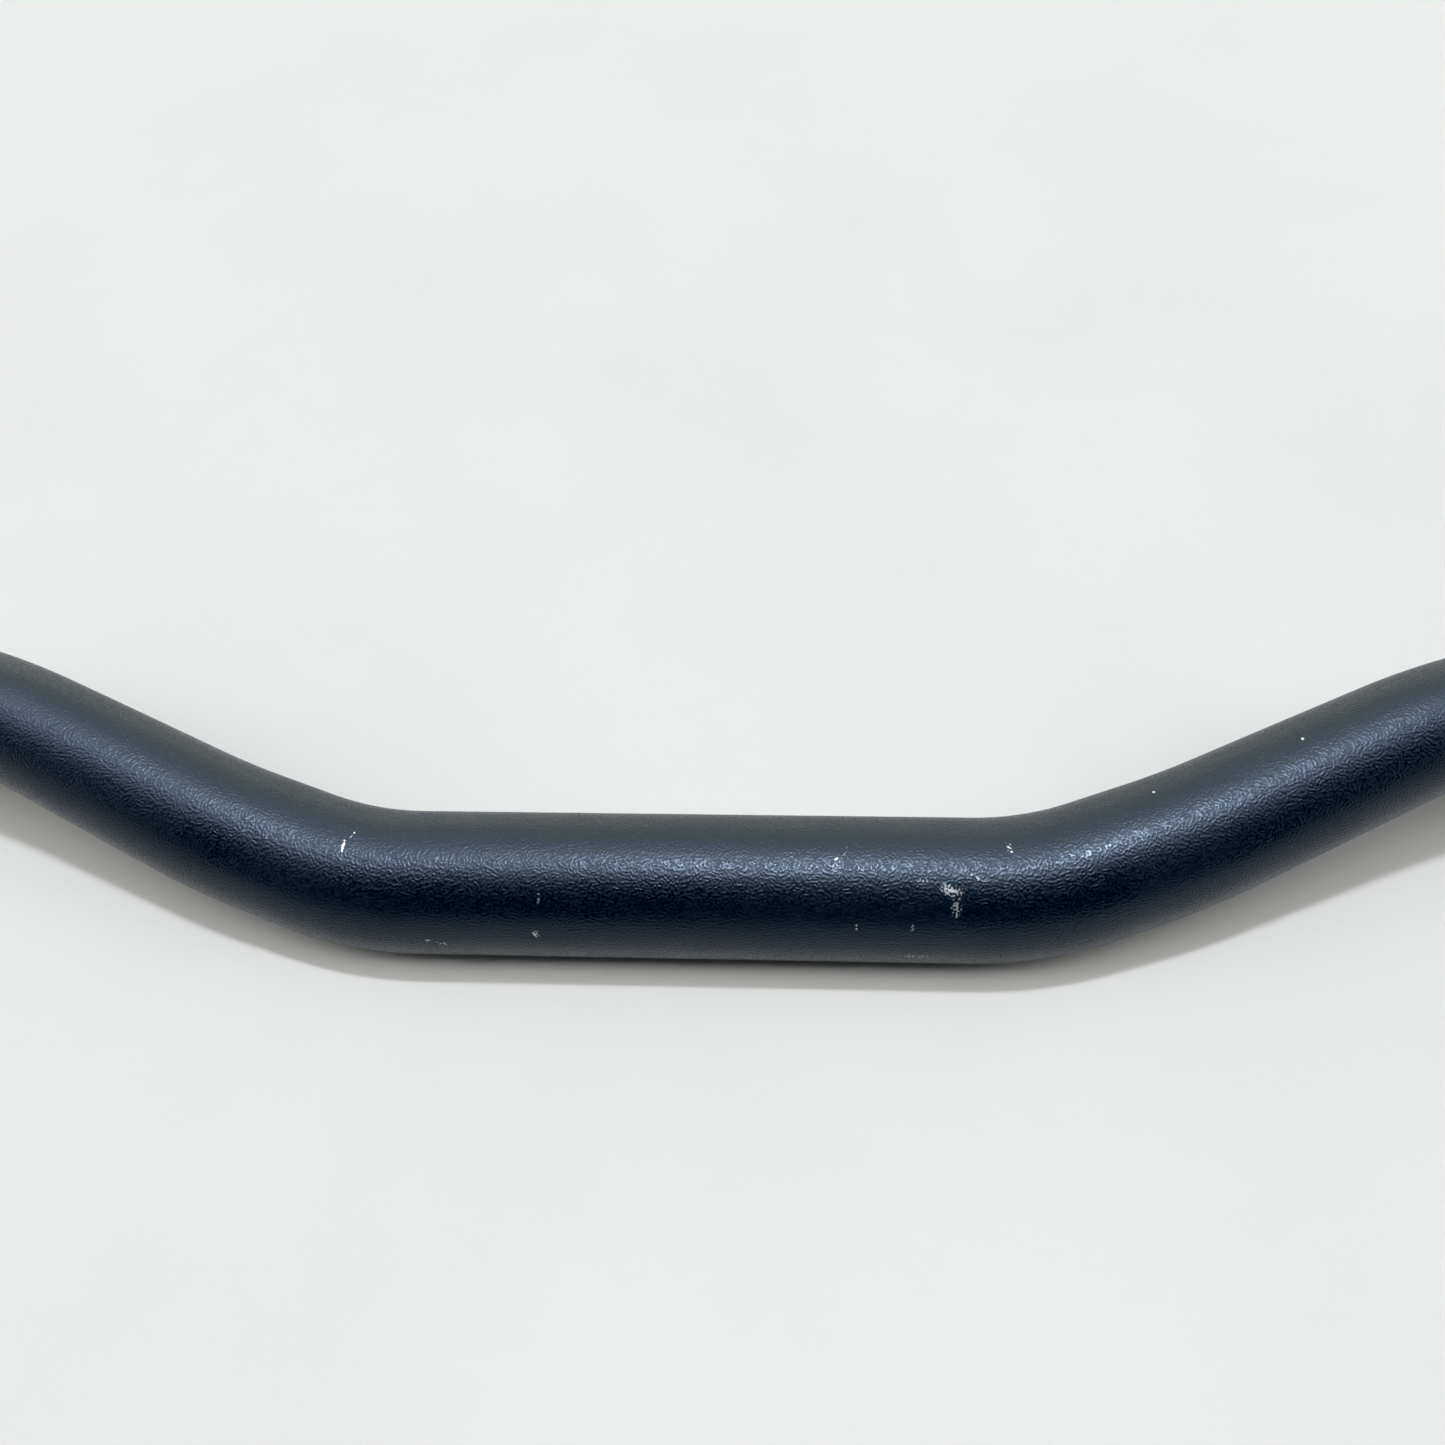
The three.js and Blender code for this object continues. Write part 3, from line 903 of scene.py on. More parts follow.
@dataclass
class HandlebarTube:
    """The bent, butted and tapered tube, as one closed wall with four holes drilled in it."""

    axis: BentAxis
    clamp_radius: float = 14.29 * MM
    grip_radius: float = 11.09 * MM
    clamp_bore: float = 10.4 * MM
    grip_bore: float = 7.9 * MM
    taper_start: float = 55 * MM
    taper_end: float = 230 * MM
    end_round: float = 0.6 * MM
    bore_round: float = 0.35 * MM
    spacing: float = 2.3 * MM
    sides: int = 72
    first_angle: float = math.radians(-177)
    hole_cells: int = 4
    burr: float = 0.25 * MM
    holes: tuple[WallHole, ...] = (
        WallHole(23.5 * MM, 143, 2.6 * MM),
        WallHole(165 * MM, 53, 2.25 * MM),
    )

    def taper(self, distance: Array) -> Array:
        """How far the taper has gone, by the smooth step t^2 (3 - 2t), 0 at the clamp."""
        t = (np.abs(distance) - self.taper_start) / (self.taper_end - self.taper_start)
        t = np.clip(t, 0, 1)
        return t * t * (3 - 2 * t)

    def outer(self, distance: Array) -> Array:
        """The outer radius at a distance along the bar."""
        return self.clamp_radius + (self.grip_radius - self.clamp_radius) * self.taper(distance)

    def inner(self, distance: Array) -> Array:
        """The bore's radius at a distance along the bar."""
        return self.clamp_bore + (self.grip_bore - self.clamp_bore) * self.taper(distance)

    def place(self, distance: Array, radius: Array, angle: Array) -> Array:
        """Points of the bent bar, from distance along it, radius and angle round it.

        axis + radius * (up cos a + front sin a) on the left half. A negative distance is the
        mirror image in X of the same positive one.

        Args:
            distance: Signed distances along the bar.
            radius: Distances from the axis.
            angle: Angles round it. All three broadcast together.

        Returns:
            The broadcast shape by 3.
        """
        distance, radius, angle = np.broadcast_arrays(distance, radius, angle)
        at = self.axis.sections(np.abs(distance).ravel())
        turn, reach = angle.reshape(-1, 1), radius.reshape(-1, 1)
        points = at.point + reach * (at.up * np.cos(turn) + at.front * np.sin(turn))
        points[:, 0] *= np.where(distance.ravel() < 0, -1, 1)
        return points.reshape(*distance.shape, 3)

    def surface_uv(self, distance: Array, angle: Array) -> Array:
        """Surface coordinates, metres along the bar and metres of clamp girth round it."""
        along, around = np.broadcast_arrays(distance, angle / TURN * CLAMP_GIRTH)
        return np.stack([along, around], axis=-1)

    def stations(self) -> Array:
        """Distances of the left half's sections, with even steps across each hole."""
        length = self.axis.length
        cell = self.sides_step() * self.grip_radius
        marks = [0.0, length - self.end_round]
        for hole in self.holes:
            middle = length - hole.from_end
            marks += [middle - self.hole_cells * cell, middle + self.hole_cells * cell]
        marks.sort()
        spans = []
        for low, high in zip(marks, marks[1:]):
            crosses_hole = abs((high - low) / (2 * self.hole_cells * cell) - 1) < 1e-6
            steps = 2 * self.hole_cells if crosses_hole else math.ceil((high - low) / self.spacing)
            spans.append(np.linspace(low, high, steps + 1)[:-1])
        return np.concatenate([*spans, [marks[-1]]])

    def sides_step(self) -> float:
        """The angle between two neighbouring lines along the tube."""
        return TURN / self.sides

    def build(self, finishes: Sequence[bpy.types.Material]) -> bpy.types.Object:
        """Makes the tube.

        One profile of distance and radius runs along the outside, round the left end's lip, back
        along the bore and round the right end's lip, and is carried round the bent axis.

        Args:
            finishes: The coat, then the bore.

        Returns:
            The new piece.
        """
        half = self.stations()
        whole = np.concatenate([-half[:0:-1], half])
        lip = self.lip()
        distance = np.concatenate([whole, lip[:, 0], whole[::-1], -lip[::-1, 0], whole[:1]])
        outside, bore = self.outer(whole), self.inner(whole[::-1])
        radius = np.concatenate([outside, lip[:, 1], bore, lip[::-1, 1], outside[:1]])
        angle = self.first_angle + np.arange(self.sides + 1) * self.sides_step()
        keep = np.ones((len(distance) - 1, self.sides), bool)
        turned_back = 2 * len(whole) + len(lip) - 1
        collars = []
        for hole in self.holes:
            for side in Side:
                rows, columns = self.block(hole, side, whole, angle)
                keep[rows, columns] = False
                keep[turned_back - rows.stop : turned_back - rows.start, columns] = False
                around = whole[rows.start : rows.stop + 1]
                collars.append(self.collar(hole, side, around, angle, columns))
        inside = np.zeros(keep.shape, np.int32)
        inside[len(whole) + len(lip) - 3 : 2 * len(whole) + len(lip) + 1] = 1
        wall = Patch(
            self.place(distance[:, None], radius[:, None], angle[None, :]),
            self.surface_uv(distance[:, None], angle[None, :]),
            None,
            inside,
            keep,
        )
        return make_piece("handlebar_tube_skin", [wall, *collars], finishes, math.radians(40))

    def lip(self) -> Array:
        """The end's profile, from the outside over a rounded lip and flat face into the bore."""
        length, outer, bore = self.axis.length, self.grip_radius, self.grip_bore
        t = np.linspace(0, math.pi / 2, 6)[1:]
        out = np.stack(
            [
                length - self.end_round + self.end_round * np.sin(t),
                outer - self.end_round + self.end_round * np.cos(t),
            ],
            axis=1,
        )
        t = np.linspace(0, math.pi / 2, 4)[:-1]
        into = np.stack(
            [
                length - self.bore_round + self.bore_round * np.cos(t),
                bore + self.bore_round - self.bore_round * np.sin(t),
            ],
            axis=1,
        )
        return np.concatenate([out, into])

    def block(self, hole: WallHole, side: Side, whole: Array, angle: Array) -> tuple[slice, slice]:
        """The cells of the outer grid that a hole's collar takes the place of.

        Args:
            hole: The hole.
            side: The half of the bar it is on.
            whole: Distances of all sections.
            angle: Angles of all lines along the tube.

        Returns:
            The rows and the columns.
        """
        middle = side.value * (self.axis.length - hole.from_end)
        row = int(np.abs(whole - middle).argmin())
        column = int(np.abs(angle - math.radians(hole.around)).argmin())
        n = self.hole_cells
        return slice(row - n, row + n), slice(column - n, column + n)

    def collar(self, hole: WallHole, side: Side, rows: Array, angle: Array, columns: slice) -> Patch:
        """The wall round one hole, from the outer grid through the hole to the bore's grid.

        The square of grid points round the hole closes in on a circle, goes down through the
        wall over a small burr, and opens out to the same square on the bore. On a wall of radius
        R, a point w beside the hole's middle is asin(w / R) round from it.

        Args:
            hole: The hole.
            side: The half of the bar it is on.
            rows: Distances of the square's grid rows.
            angle: Angles of all lines along the tube.
            columns: The square's columns.

        Returns:
            The patch.
        """
        n = self.hole_cells
        lines = angle[columns.start : columns.stop + 1]
        middle = side.value * (self.axis.length - hole.from_end)
        around = math.radians(hole.around)
        side_rows = np.concatenate(
            [rows, np.full(2 * n - 1, rows[-1]), rows[::-1], np.full(2 * n, rows[0])]
        )
        first, last = np.full(2 * n + 1, lines[0]), np.full(2 * n + 1, lines[-1])
        side_lines = np.concatenate([first, lines[1:-1], last, lines[2 * n - 1 :: -1]])
        bearing = np.arctan2((side_lines - around) * self.grip_radius, side_rows - middle)
        bearing = np.unwrap(bearing)

        def ring(reach: float, wall: float) -> tuple[Array, Array]:
            """Distances and angles of a circle round the hole on a wall of a given radius."""
            across = np.clip(reach * np.sin(bearing) / wall, -1, 1)
            return middle + reach * np.cos(bearing), around + np.arcsin(across)

        out_wall = float(self.outer(np.array([middle]))[0])
        in_wall = float(self.inner(np.array([middle]))[0])
        layers = []
        for share in (1.0, 0.66, 0.33):
            s, a = ring(hole.radius + self.burr, out_wall)
            s = s + (side_rows - s) * share
            layers.append((s, self.outer(s), a + (side_lines - a) * share))
        drilled = (
            (hole.radius + self.burr, 0.0),
            (hole.radius + 0.3 * self.burr, 0.3 * self.burr),
            (hole.radius, self.burr),
            (hole.radius, (out_wall - in_wall) / 2),
        )
        for reach, depth in drilled:
            s, a = ring(reach, out_wall - depth)
            layers.append((s, self.outer(s) - depth, a))
        for share in (0.0, 0.5, 1.0):
            s, a = ring(hole.radius, in_wall)
            s = s + (side_rows - s) * share
            layers.append((s, self.inner(s), a + (side_lines - a) * share))
        distance, radius, turn = (np.stack(part) for part in zip(*layers))
        finish = np.zeros((len(layers) - 1, distance.shape[1] - 1), np.int32)
        finish[len(layers) - 4 :] = 1  # the lower wall and the bore are bare
        points = self.place(distance, radius, turn)
        return Patch(points, self.surface_uv(distance, turn), None, finish)


# ------------------------------------------------------------------------------------ fittings


@dataclass(frozen=True)
class Thread:
    """A right-hand metric thread as a ripple on a cylinder.

    Attributes:
        pitch: Height of one turn.
        depth: Height of its ridges.
        radius: The middle of its ridges.
    """

    pitch: float = 1.0 * MM
    depth: float = 0.54 * MM
    radius: float = 2.65 * MM

    def ripple(self, height: Array, angle: Array, side: Side) -> Array:
        """The radius at a height and an angle.

        radius + depth / 2 * ridge(height / pitch - turns), where ridge is a triangle wave cut off
        at its tips. The mirrored side counts its turns backwards, so both threads are
        right-hand.

        Args:
            height: Heights along the screw.
            angle: Angles round it, broadcast with the heights.
            side: The end of the bar it is on.

        Returns:
            Radii of the broadcast shape.
        """
        phase = (height / self.pitch + side.value * angle / TURN) % 1.0
        ridge = np.clip((1 - 4 * np.abs(phase - 0.5)) * 1.25, -1, 1)
        return self.radius + self.depth / 2 * ridge


@dataclass
class InnerWeight:
    """Zinc-plated rod inside the tube's end, with a flatted and tapped nose."""

    frame: EndFrame
    radius: float = 7.1 * MM
    inboard: float = -128 * MM
    shoulder: float = -8 * MM
    nose_radius: float = 4.9 * MM
    nose_tip: float = 4.8 * MM
    flats: float = 8.0 * MM
    hole_bottom: float = -14 * MM
    grooves: tuple[tuple[float, float, float], ...] = (
        (-115 * MM, -108 * MM, 5.4 * MM),
        (-43 * MM, -36 * MM, 5.4 * MM),
        (-27 * MM, -20 * MM, 5.6 * MM),
    )
    tapped: Thread = Thread(radius=2.95 * MM)
    lead_in: float = 0.3 * MM
    fade: float = 0.6 * MM
    drill_point: float = 1.6 * MM
    corner_round: float = 0.28 * MM
    columns: int = 72

    def outside(self) -> tuple[Array, Array]:
        """The rod's profile, from the middle of its inboard face to the mouth of its hole."""
        corners = [
            (0.0, self.inboard),
            (self.radius - MM, self.inboard),
            (self.radius, self.inboard + MM),
        ]
        for low, high, floor in self.grooves:
            corners += [(self.radius, low), (floor, low), (floor, high), (self.radius, high)]
        corners += [
            (self.radius, self.shoulder),
            (self.nose_radius, self.shoulder),
            (self.nose_radius, self.nose_tip),
            (self.tapped.radius + self.lead_in, self.nose_tip),
            (self.tapped.radius + self.lead_in, self.nose_tip - 0.1 * MM),
        ]
        profile, edge = softened(np.array(corners), self.corner_round)
        return refined(profile, edge, 3 * MM)

    def build(self, finish: bpy.types.Material) -> bpy.types.Object:
        """Makes the rod and its tapped hole.

        Args:
            finish: The plating.

        Returns:
            The new piece.
        """
        profile, edge = self.outside()
        rod = self.frame.turned(profile, edge, self.columns)
        rod.points = self.with_flats(rod.points, profile)
        mouth = profile[-1, 1]
        height = np.concatenate([np.arange(mouth, self.hole_bottom, -0.1 * MM), [self.hole_bottom]])
        angle = np.linspace(0, TURN, self.columns + 1)
        radius = self.tapped.ripple(height[:, None], angle[None, :], self.frame.side)
        easing = np.clip((mouth - height) / self.fade, 0, 1)[:, None]
        radius = profile[-1, 0] * (1 - easing) + radius * easing
        height = np.concatenate([height, [self.hole_bottom - self.drill_point]])
        radius = np.concatenate([radius, np.zeros((1, self.columns + 1))])
        hole = self.frame.sheet(radius, height, self.columns)
        return make_piece(f"{self.frame.side.label}_inner_weight_rod", [rod, hole], [finish])

    def with_flats(self, points: Array, profile: Array) -> Array:
        """Presses two flats on the nose.

        Every point of the nose is pulled in along up until it is no further out than the flats.

        Args:
            points: The rod's grid of points.
            profile: The profile that its rows follow.

        Returns:
            The grid with its flats.
        """
        on_nose = (profile[:, 1] > self.shoulder + 0.4 * MM)[:, None]
        height = (points - self.frame.point) @ self.frame.up
        limit = self.flats / 2
        excess = np.where(on_nose, height - np.clip(height, -limit, limit), 0.0)
        return points - excess[..., None] * self.frame.up


@dataclass
class DamperRing:
    """Rubber ring in a groove of the inner weight, ribbed where it bears on the bore."""

    frame: EndFrame
    name: str
    low: float
    high: float
    inner: float = 5.7 * MM
    outer: float = 7.55 * MM
    side_gap: float = 0.3 * MM
    crown: float = 0.45 * MM
    rib: float = 0.06 * MM
    ribs: int = 3

    def build(self, finish: bpy.types.Material) -> bpy.types.Object:
        """Makes the ring.

        With x from -1 to 1 across the ring, its outside has the radius
        outer - rib - crown x^4 + rib |cos(ribs pi x / 2)|.

        Args:
            finish: The rubber.

        Returns:
            The new piece.
        """
        low, high = self.low + self.side_gap, self.high - self.side_gap
        x = np.linspace(-1, 1, 41)
        radius = self.outer - self.rib - self.crown * x**4
        radius += self.rib * np.abs(np.cos(self.ribs * math.pi * x / 2))
        height = (low + high) / 2 + x * (high - low) / 2
        out = np.stack([radius, height], axis=1)
        profile = np.array([(self.inner, low), *out, (self.inner, high), (self.inner, low)])
        ring = self.frame.turned(profile, np.zeros(len(profile)))
        return make_piece(f"{self.frame.side.label}_{self.name}_rubber", [ring], [finish])


@dataclass
class RetainingClip:
    """Spring band round the inner weight, with the button that stands in the tube's hole."""

    frame: EndFrame
    centre: float = -23.5 * MM
    width: float = 6.4 * MM
    inner: float = 5.9 * MM
    thickness: float = 0.7 * MM
    around: float = math.radians(143)
    mouth: float = math.radians(70)
    flare: float = 0.25 * MM
    flare_length: float = 0.22
    button_radius: float = 2.2 * MM
    button_reach: float = 10.7 * MM
    button_foot: float = 0.5 * MM
    button_rise: float = 0.9 * MM

    def band(self) -> Patch:
        """The band, its rounded section carried round most of a turn and closed at both lips.

        The section is |cos t|^0.16 of half its width by |sin t|^0.35 of half its thickness. Both
        lips flare outwards, by the square of how far along the last flare_length radians.
        """
        t = np.linspace(0, TURN, 33)
        half_w, half_t = self.width / 2, self.thickness / 2
        section_y = half_w * np.sign(np.cos(t)) * np.abs(np.cos(t)) ** 0.16
        section_r = half_t * np.sign(np.sin(t)) * np.abs(np.sin(t)) ** 0.35
        reach = math.pi - self.mouth / 2
        turn = np.linspace(-reach, reach, 73)
        turn = np.concatenate([turn[:1], turn, turn[-1:]])
        size = np.ones(len(turn))
        size[[0, -1]] = 0.0
        past = (np.abs(turn) - reach + self.flare_length) / self.flare_length
        flare = self.flare * np.clip(past, 0, 1) ** 2
        radius = self.inner + half_t + flare[:, None] + size[:, None] * section_r[None, :]
        height = self.centre + size[:, None] * section_y[None, :]
        points = self.frame.place(radius, height, self.around + turn[:, None])
        uv = np.stack(np.broadcast_arrays(t[None, :] / TURN, turn[:, None] * self.inner), axis=-1)
        return Patch(points, uv)

    def button(self) -> Patch:
        """The button, a profile of radius and reach turned about the hole's own axis."""
        top, foot = self.button_reach, self.inner + 0.1 * MM
        corners = np.array(
            [
                (0.0, foot),
                (self.button_radius + self.button_foot, foot),
                (self.button_radius, foot + self.button_rise),
                (self.button_radius, top - 0.1 * MM),
                (self.button_radius - self.button_rise, top),
                (0.0, top),
            ]
        )
        profile, edge = softened(corners, 0.5 * MM, 6)
        out = self.frame.up * math.cos(self.around) + self.frame.front * math.sin(self.around)
        across = np.cross(out, self.frame.along)
        turn = np.linspace(0, TURN, 49)[None, :, None]
        origin = self.frame.point + self.frame.along * self.centre
        ring = self.frame.along * np.cos(turn) + across * np.sin(turn)
        points = origin + profile[:, 1, None, None] * out + profile[:, 0, None, None] * ring
        uv = np.stack(np.broadcast_arrays(turn[..., 0] / TURN, profile[:, 1:]), axis=-1)
        return Patch(points, uv, np.broadcast_to(edge[:, None], uv.shape[:2]))

    def build(self, finish: bpy.types.Material) -> bpy.types.Object:
        """Makes the clip from its band and its button.

        Args:
            finish: The spring steel.

        Returns:
            The new piece.
        """
        patches = [self.band(), self.button()]
        return make_piece(f"{self.frame.side.label}_retaining_clip_spring", patches, [finish])


@dataclass
class EndWeight:
    """Turned weight beyond the tube's end, with a groove behind its flange."""

    frame: EndFrame
    radius: float = 14.98 * MM
    inner: float = 1.5 * MM
    outer: float = 33.92 * MM
    groove_radius: float = 13.4 * MM
    flange_end: float = 6 * MM
    body_start: float = 10 * MM
    body_end: float = 27 * MM
    face_radius: float = 11 * MM
    recess_radius: float = 5.4 * MM
    recess_floor: float = 5.1 * MM
    screw_hole: float = 3.4 * MM
    counterbore: float = 5.6 * MM
    counterbore_floor: float = 26 * MM
    groove_slope: float = 0.8 * MM
    outer_round: float = 0.75 * MM
    bore_round: float = 0.35 * MM

    def profile(self) -> tuple[Array, Array]:
        """The closed profile, up the outside and back down the bore.

        The shoulder between body_end and the flat face is a quarter of an ellipse.
        """
        t = np.linspace(0, math.pi / 2, 15)
        shoulder = np.stack(
            [
                self.face_radius + (self.radius - self.face_radius) * np.cos(t),
                self.body_end + (self.outer - self.body_end) * np.sin(t),
            ],
            axis=1,
        )
        foot = [
            ((self.recess_radius + self.radius) / 2, self.inner),
            (self.radius, self.inner),
            (self.radius, self.flange_end),
            (self.groove_radius, self.flange_end + self.groove_slope),
            (self.groove_radius, self.body_start - self.groove_slope),
            (self.radius, self.body_start),
            (self.radius, (self.body_start + self.body_end) / 2),
        ]
        below, below_edge = softened(np.array(foot), self.outer_round, 6)
        bore = [
            ((self.face_radius + self.counterbore) / 2, self.outer),
            (self.counterbore, self.outer),
            (self.counterbore, self.counterbore_floor),
            (self.screw_hole, self.counterbore_floor),
            (self.screw_hole, self.recess_floor),
            (self.recess_radius, self.recess_floor),
            (self.recess_radius, self.inner),
            foot[0],
        ]
        above, above_edge = softened(np.array(bore), self.bore_round, 4)
        profile = np.concatenate([below, shoulder, above])
        edge = np.concatenate([below_edge, np.sin(2 * t) * 0.25, above_edge])
        return refined(profile, edge, 2 * MM)

    def build(self, finish: bpy.types.Material) -> bpy.types.Object:
        """Makes the weight.

        Args:
            finish: The paint.

        Returns:
            The new piece.
        """
        body = self.frame.turned(*self.profile(), 128)
        return make_piece(f"{self.frame.side.label}_end_weight_body", [body], [finish])


@dataclass
class EndScrew:
    """Socket cap screw through the end weight, with its thread and hexagon socket."""

    frame: EndFrame
    seat: float = 26.3 * MM
    tip: float = -8 * MM
    thread_end: float = 15 * MM
    shank: float = 2.9 * MM
    head_radius: float = 5 * MM
    head_height: float = 6 * MM
    socket_across: float = 5 * MM
    socket_depth: float = 3 * MM
    countersink: float = 0.25 * MM
    head_round: float = 0.45 * MM
    lead: float = 1.0 * MM
    runout: float = 1.2 * MM
    thread: Thread = Thread(radius=2.63 * MM)
    columns: int = 72

    def build(self, finish: bpy.types.Material) -> bpy.types.Object:
        """Makes the screw as one surface, from the middle of its tip to that of its socket.

        Args:
            finish: The oxide.

        Returns:
            The new piece.
        """
        patches = [self.threaded(), *self.headed()]
        return make_piece(f"{self.frame.side.label}_end_screw_cap", patches, [finish])

    def threaded(self) -> Patch:
        """The tip and the thread, whose ridges fade out at both ends."""
        start = self.tip + 0.5 * MM
        height = np.arange(start, self.thread_end, self.thread.pitch / 12)
        angle = np.linspace(0, TURN, self.columns + 1)
        ripple = self.thread.ripple(height[:, None], angle[None, :], self.frame.side)
        lead = np.clip((height - start) / self.lead, 0, 1)
        runout = np.clip((self.thread_end - height) / self.runout, 0, 1)
        plain = np.where(lead < 1, self.thread.radius - self.thread.depth / 2, self.shank)
        mixed = (lead * runout)[:, None]
        radius = plain[:, None] * (1 - mixed) + ripple * mixed
        caps = np.array([[0.0, self.tip], [self.thread.radius - 0.7 * MM, self.tip]])
        height = np.concatenate([caps[:, 1], height, [self.thread_end]])
        rings = np.repeat(caps[:, :1], self.columns + 1, axis=1)
        last = np.full((1, self.columns + 1), self.shank)
        return self.frame.sheet(np.concatenate([rings, radius, last]), height, self.columns)

    def headed(self) -> list[Patch]:
        """The plain shank, the head, and the socket that narrows from a circle to a hexagon.

        The socket's rows are shares of the hexagon at depths in millimetres. The hexagon's radius
        at an angle a is half its width across flats over cos(a'), where a' is a counted from the
        nearest flat's middle.
        """
        top = self.seat + self.head_height
        mouth = self.socket_across / math.sqrt(3) + self.countersink
        corners = [
            (self.shank, self.thread_end),
            (self.shank, self.seat),
            (self.head_radius, self.seat),
            (self.head_radius, top),
            (mouth, top),
            (mouth - 0.02 * MM, top - 0.02 * MM),
        ]
        profile, edge = softened(np.array(corners), self.head_round, 5)
        outside = self.frame.turned(*refined(profile, edge, 1.5 * MM), self.columns)
        angle = np.linspace(0, TURN, self.columns + 1)
        beside_flat = (angle + TURN / 12) % (TURN / 6) - TURN / 12
        hexagon = self.socket_across / 2 / np.cos(beside_flat)
        deep = self.socket_depth / MM
        depth = np.array([0.02, 0.28, 0.32, deep - 0.05, deep, deep + 0.2, deep + 0.9]) * MM
        share = np.array([0.0, 1.0, 1.0, 1.0, 0.95, 0.6, 0.0])
        radius = hexagon * share[:, None]
        radius[0] = profile[-1, 0]
        return [outside, self.frame.sheet(radius, top - depth, self.columns)]


# ------------------------------------------------------------------------------------ the set


@dataclass(frozen=True)
class Finishes:
    """Every material of the object."""

    coat: bpy.types.Material
    bore: bpy.types.Material
    paint: bpy.types.Material
    zinc: bpy.types.Material
    spring: bpy.types.Material
    oxide: bpy.types.Material
    rubber: bpy.types.Material

    @classmethod
    def made(cls) -> Finishes:
        """Makes the materials."""
        return cls(
            coat=WrinkledCoat().material(),
            bore=DrawnBore().material(),
            paint=TurnedPaint().material(),
            zinc=PlatedSteel("zinc_plated_steel", PlatedTone.ZINC).material(),
            spring=PlatedSteel("blued_spring_steel", PlatedTone.BLUED, (0.3, 0.45)).material(),
            oxide=PlatedSteel("black_oxide_steel", PlatedTone.OXIDE, (0.34, 0.5)).material(),
            rubber=MouldedRubber().material(),
        )


def fit(piece: bpy.types.Object, node: str, body: str) -> None:
    """Puts a new piece in the place of a solid of the frame.

    Args:
        piece: The new piece.
        node: The solid it stands for.
        body: The body it moves with.
    """
    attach(piece, body)
    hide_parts(node)
    log.info("%s stands for %s with %d faces", piece.name, node, len(piece.data.polygons))


@dataclass
class EndFittings:
    """All the fittings of one end of the bar."""

    frame: EndFrame
    finishes: Finishes

    def build(self) -> None:
        """Makes every fitting and puts it on its body."""
        side = self.frame.side.label
        made = self.finishes
        rod = InnerWeight(self.frame)
        fit(rod.build(made.zinc), f"{side}_inner_weight", "handlebar")
        for place, groove in (("outboard", rod.grooves[1]), ("inboard", rod.grooves[0])):
            low, high, _ = groove
            ring = DamperRing(self.frame, f"damper_ring_{place}", low, high).build(made.rubber)
            fit(ring, f"{side}_damper_ring_{place}", "handlebar")
        clip = RetainingClip(self.frame).build(made.spring)
        fit(clip, f"{side}_retaining_clip", "handlebar")
        weight = EndWeight(self.frame).build(made.paint)
        fit(weight, f"{side}_end_weight", f"{side}_end_weight")
        screw = EndScrew(self.frame).build(made.oxide)
        fit(screw, f"{side}_end_screw", f"{side}_end_screw")


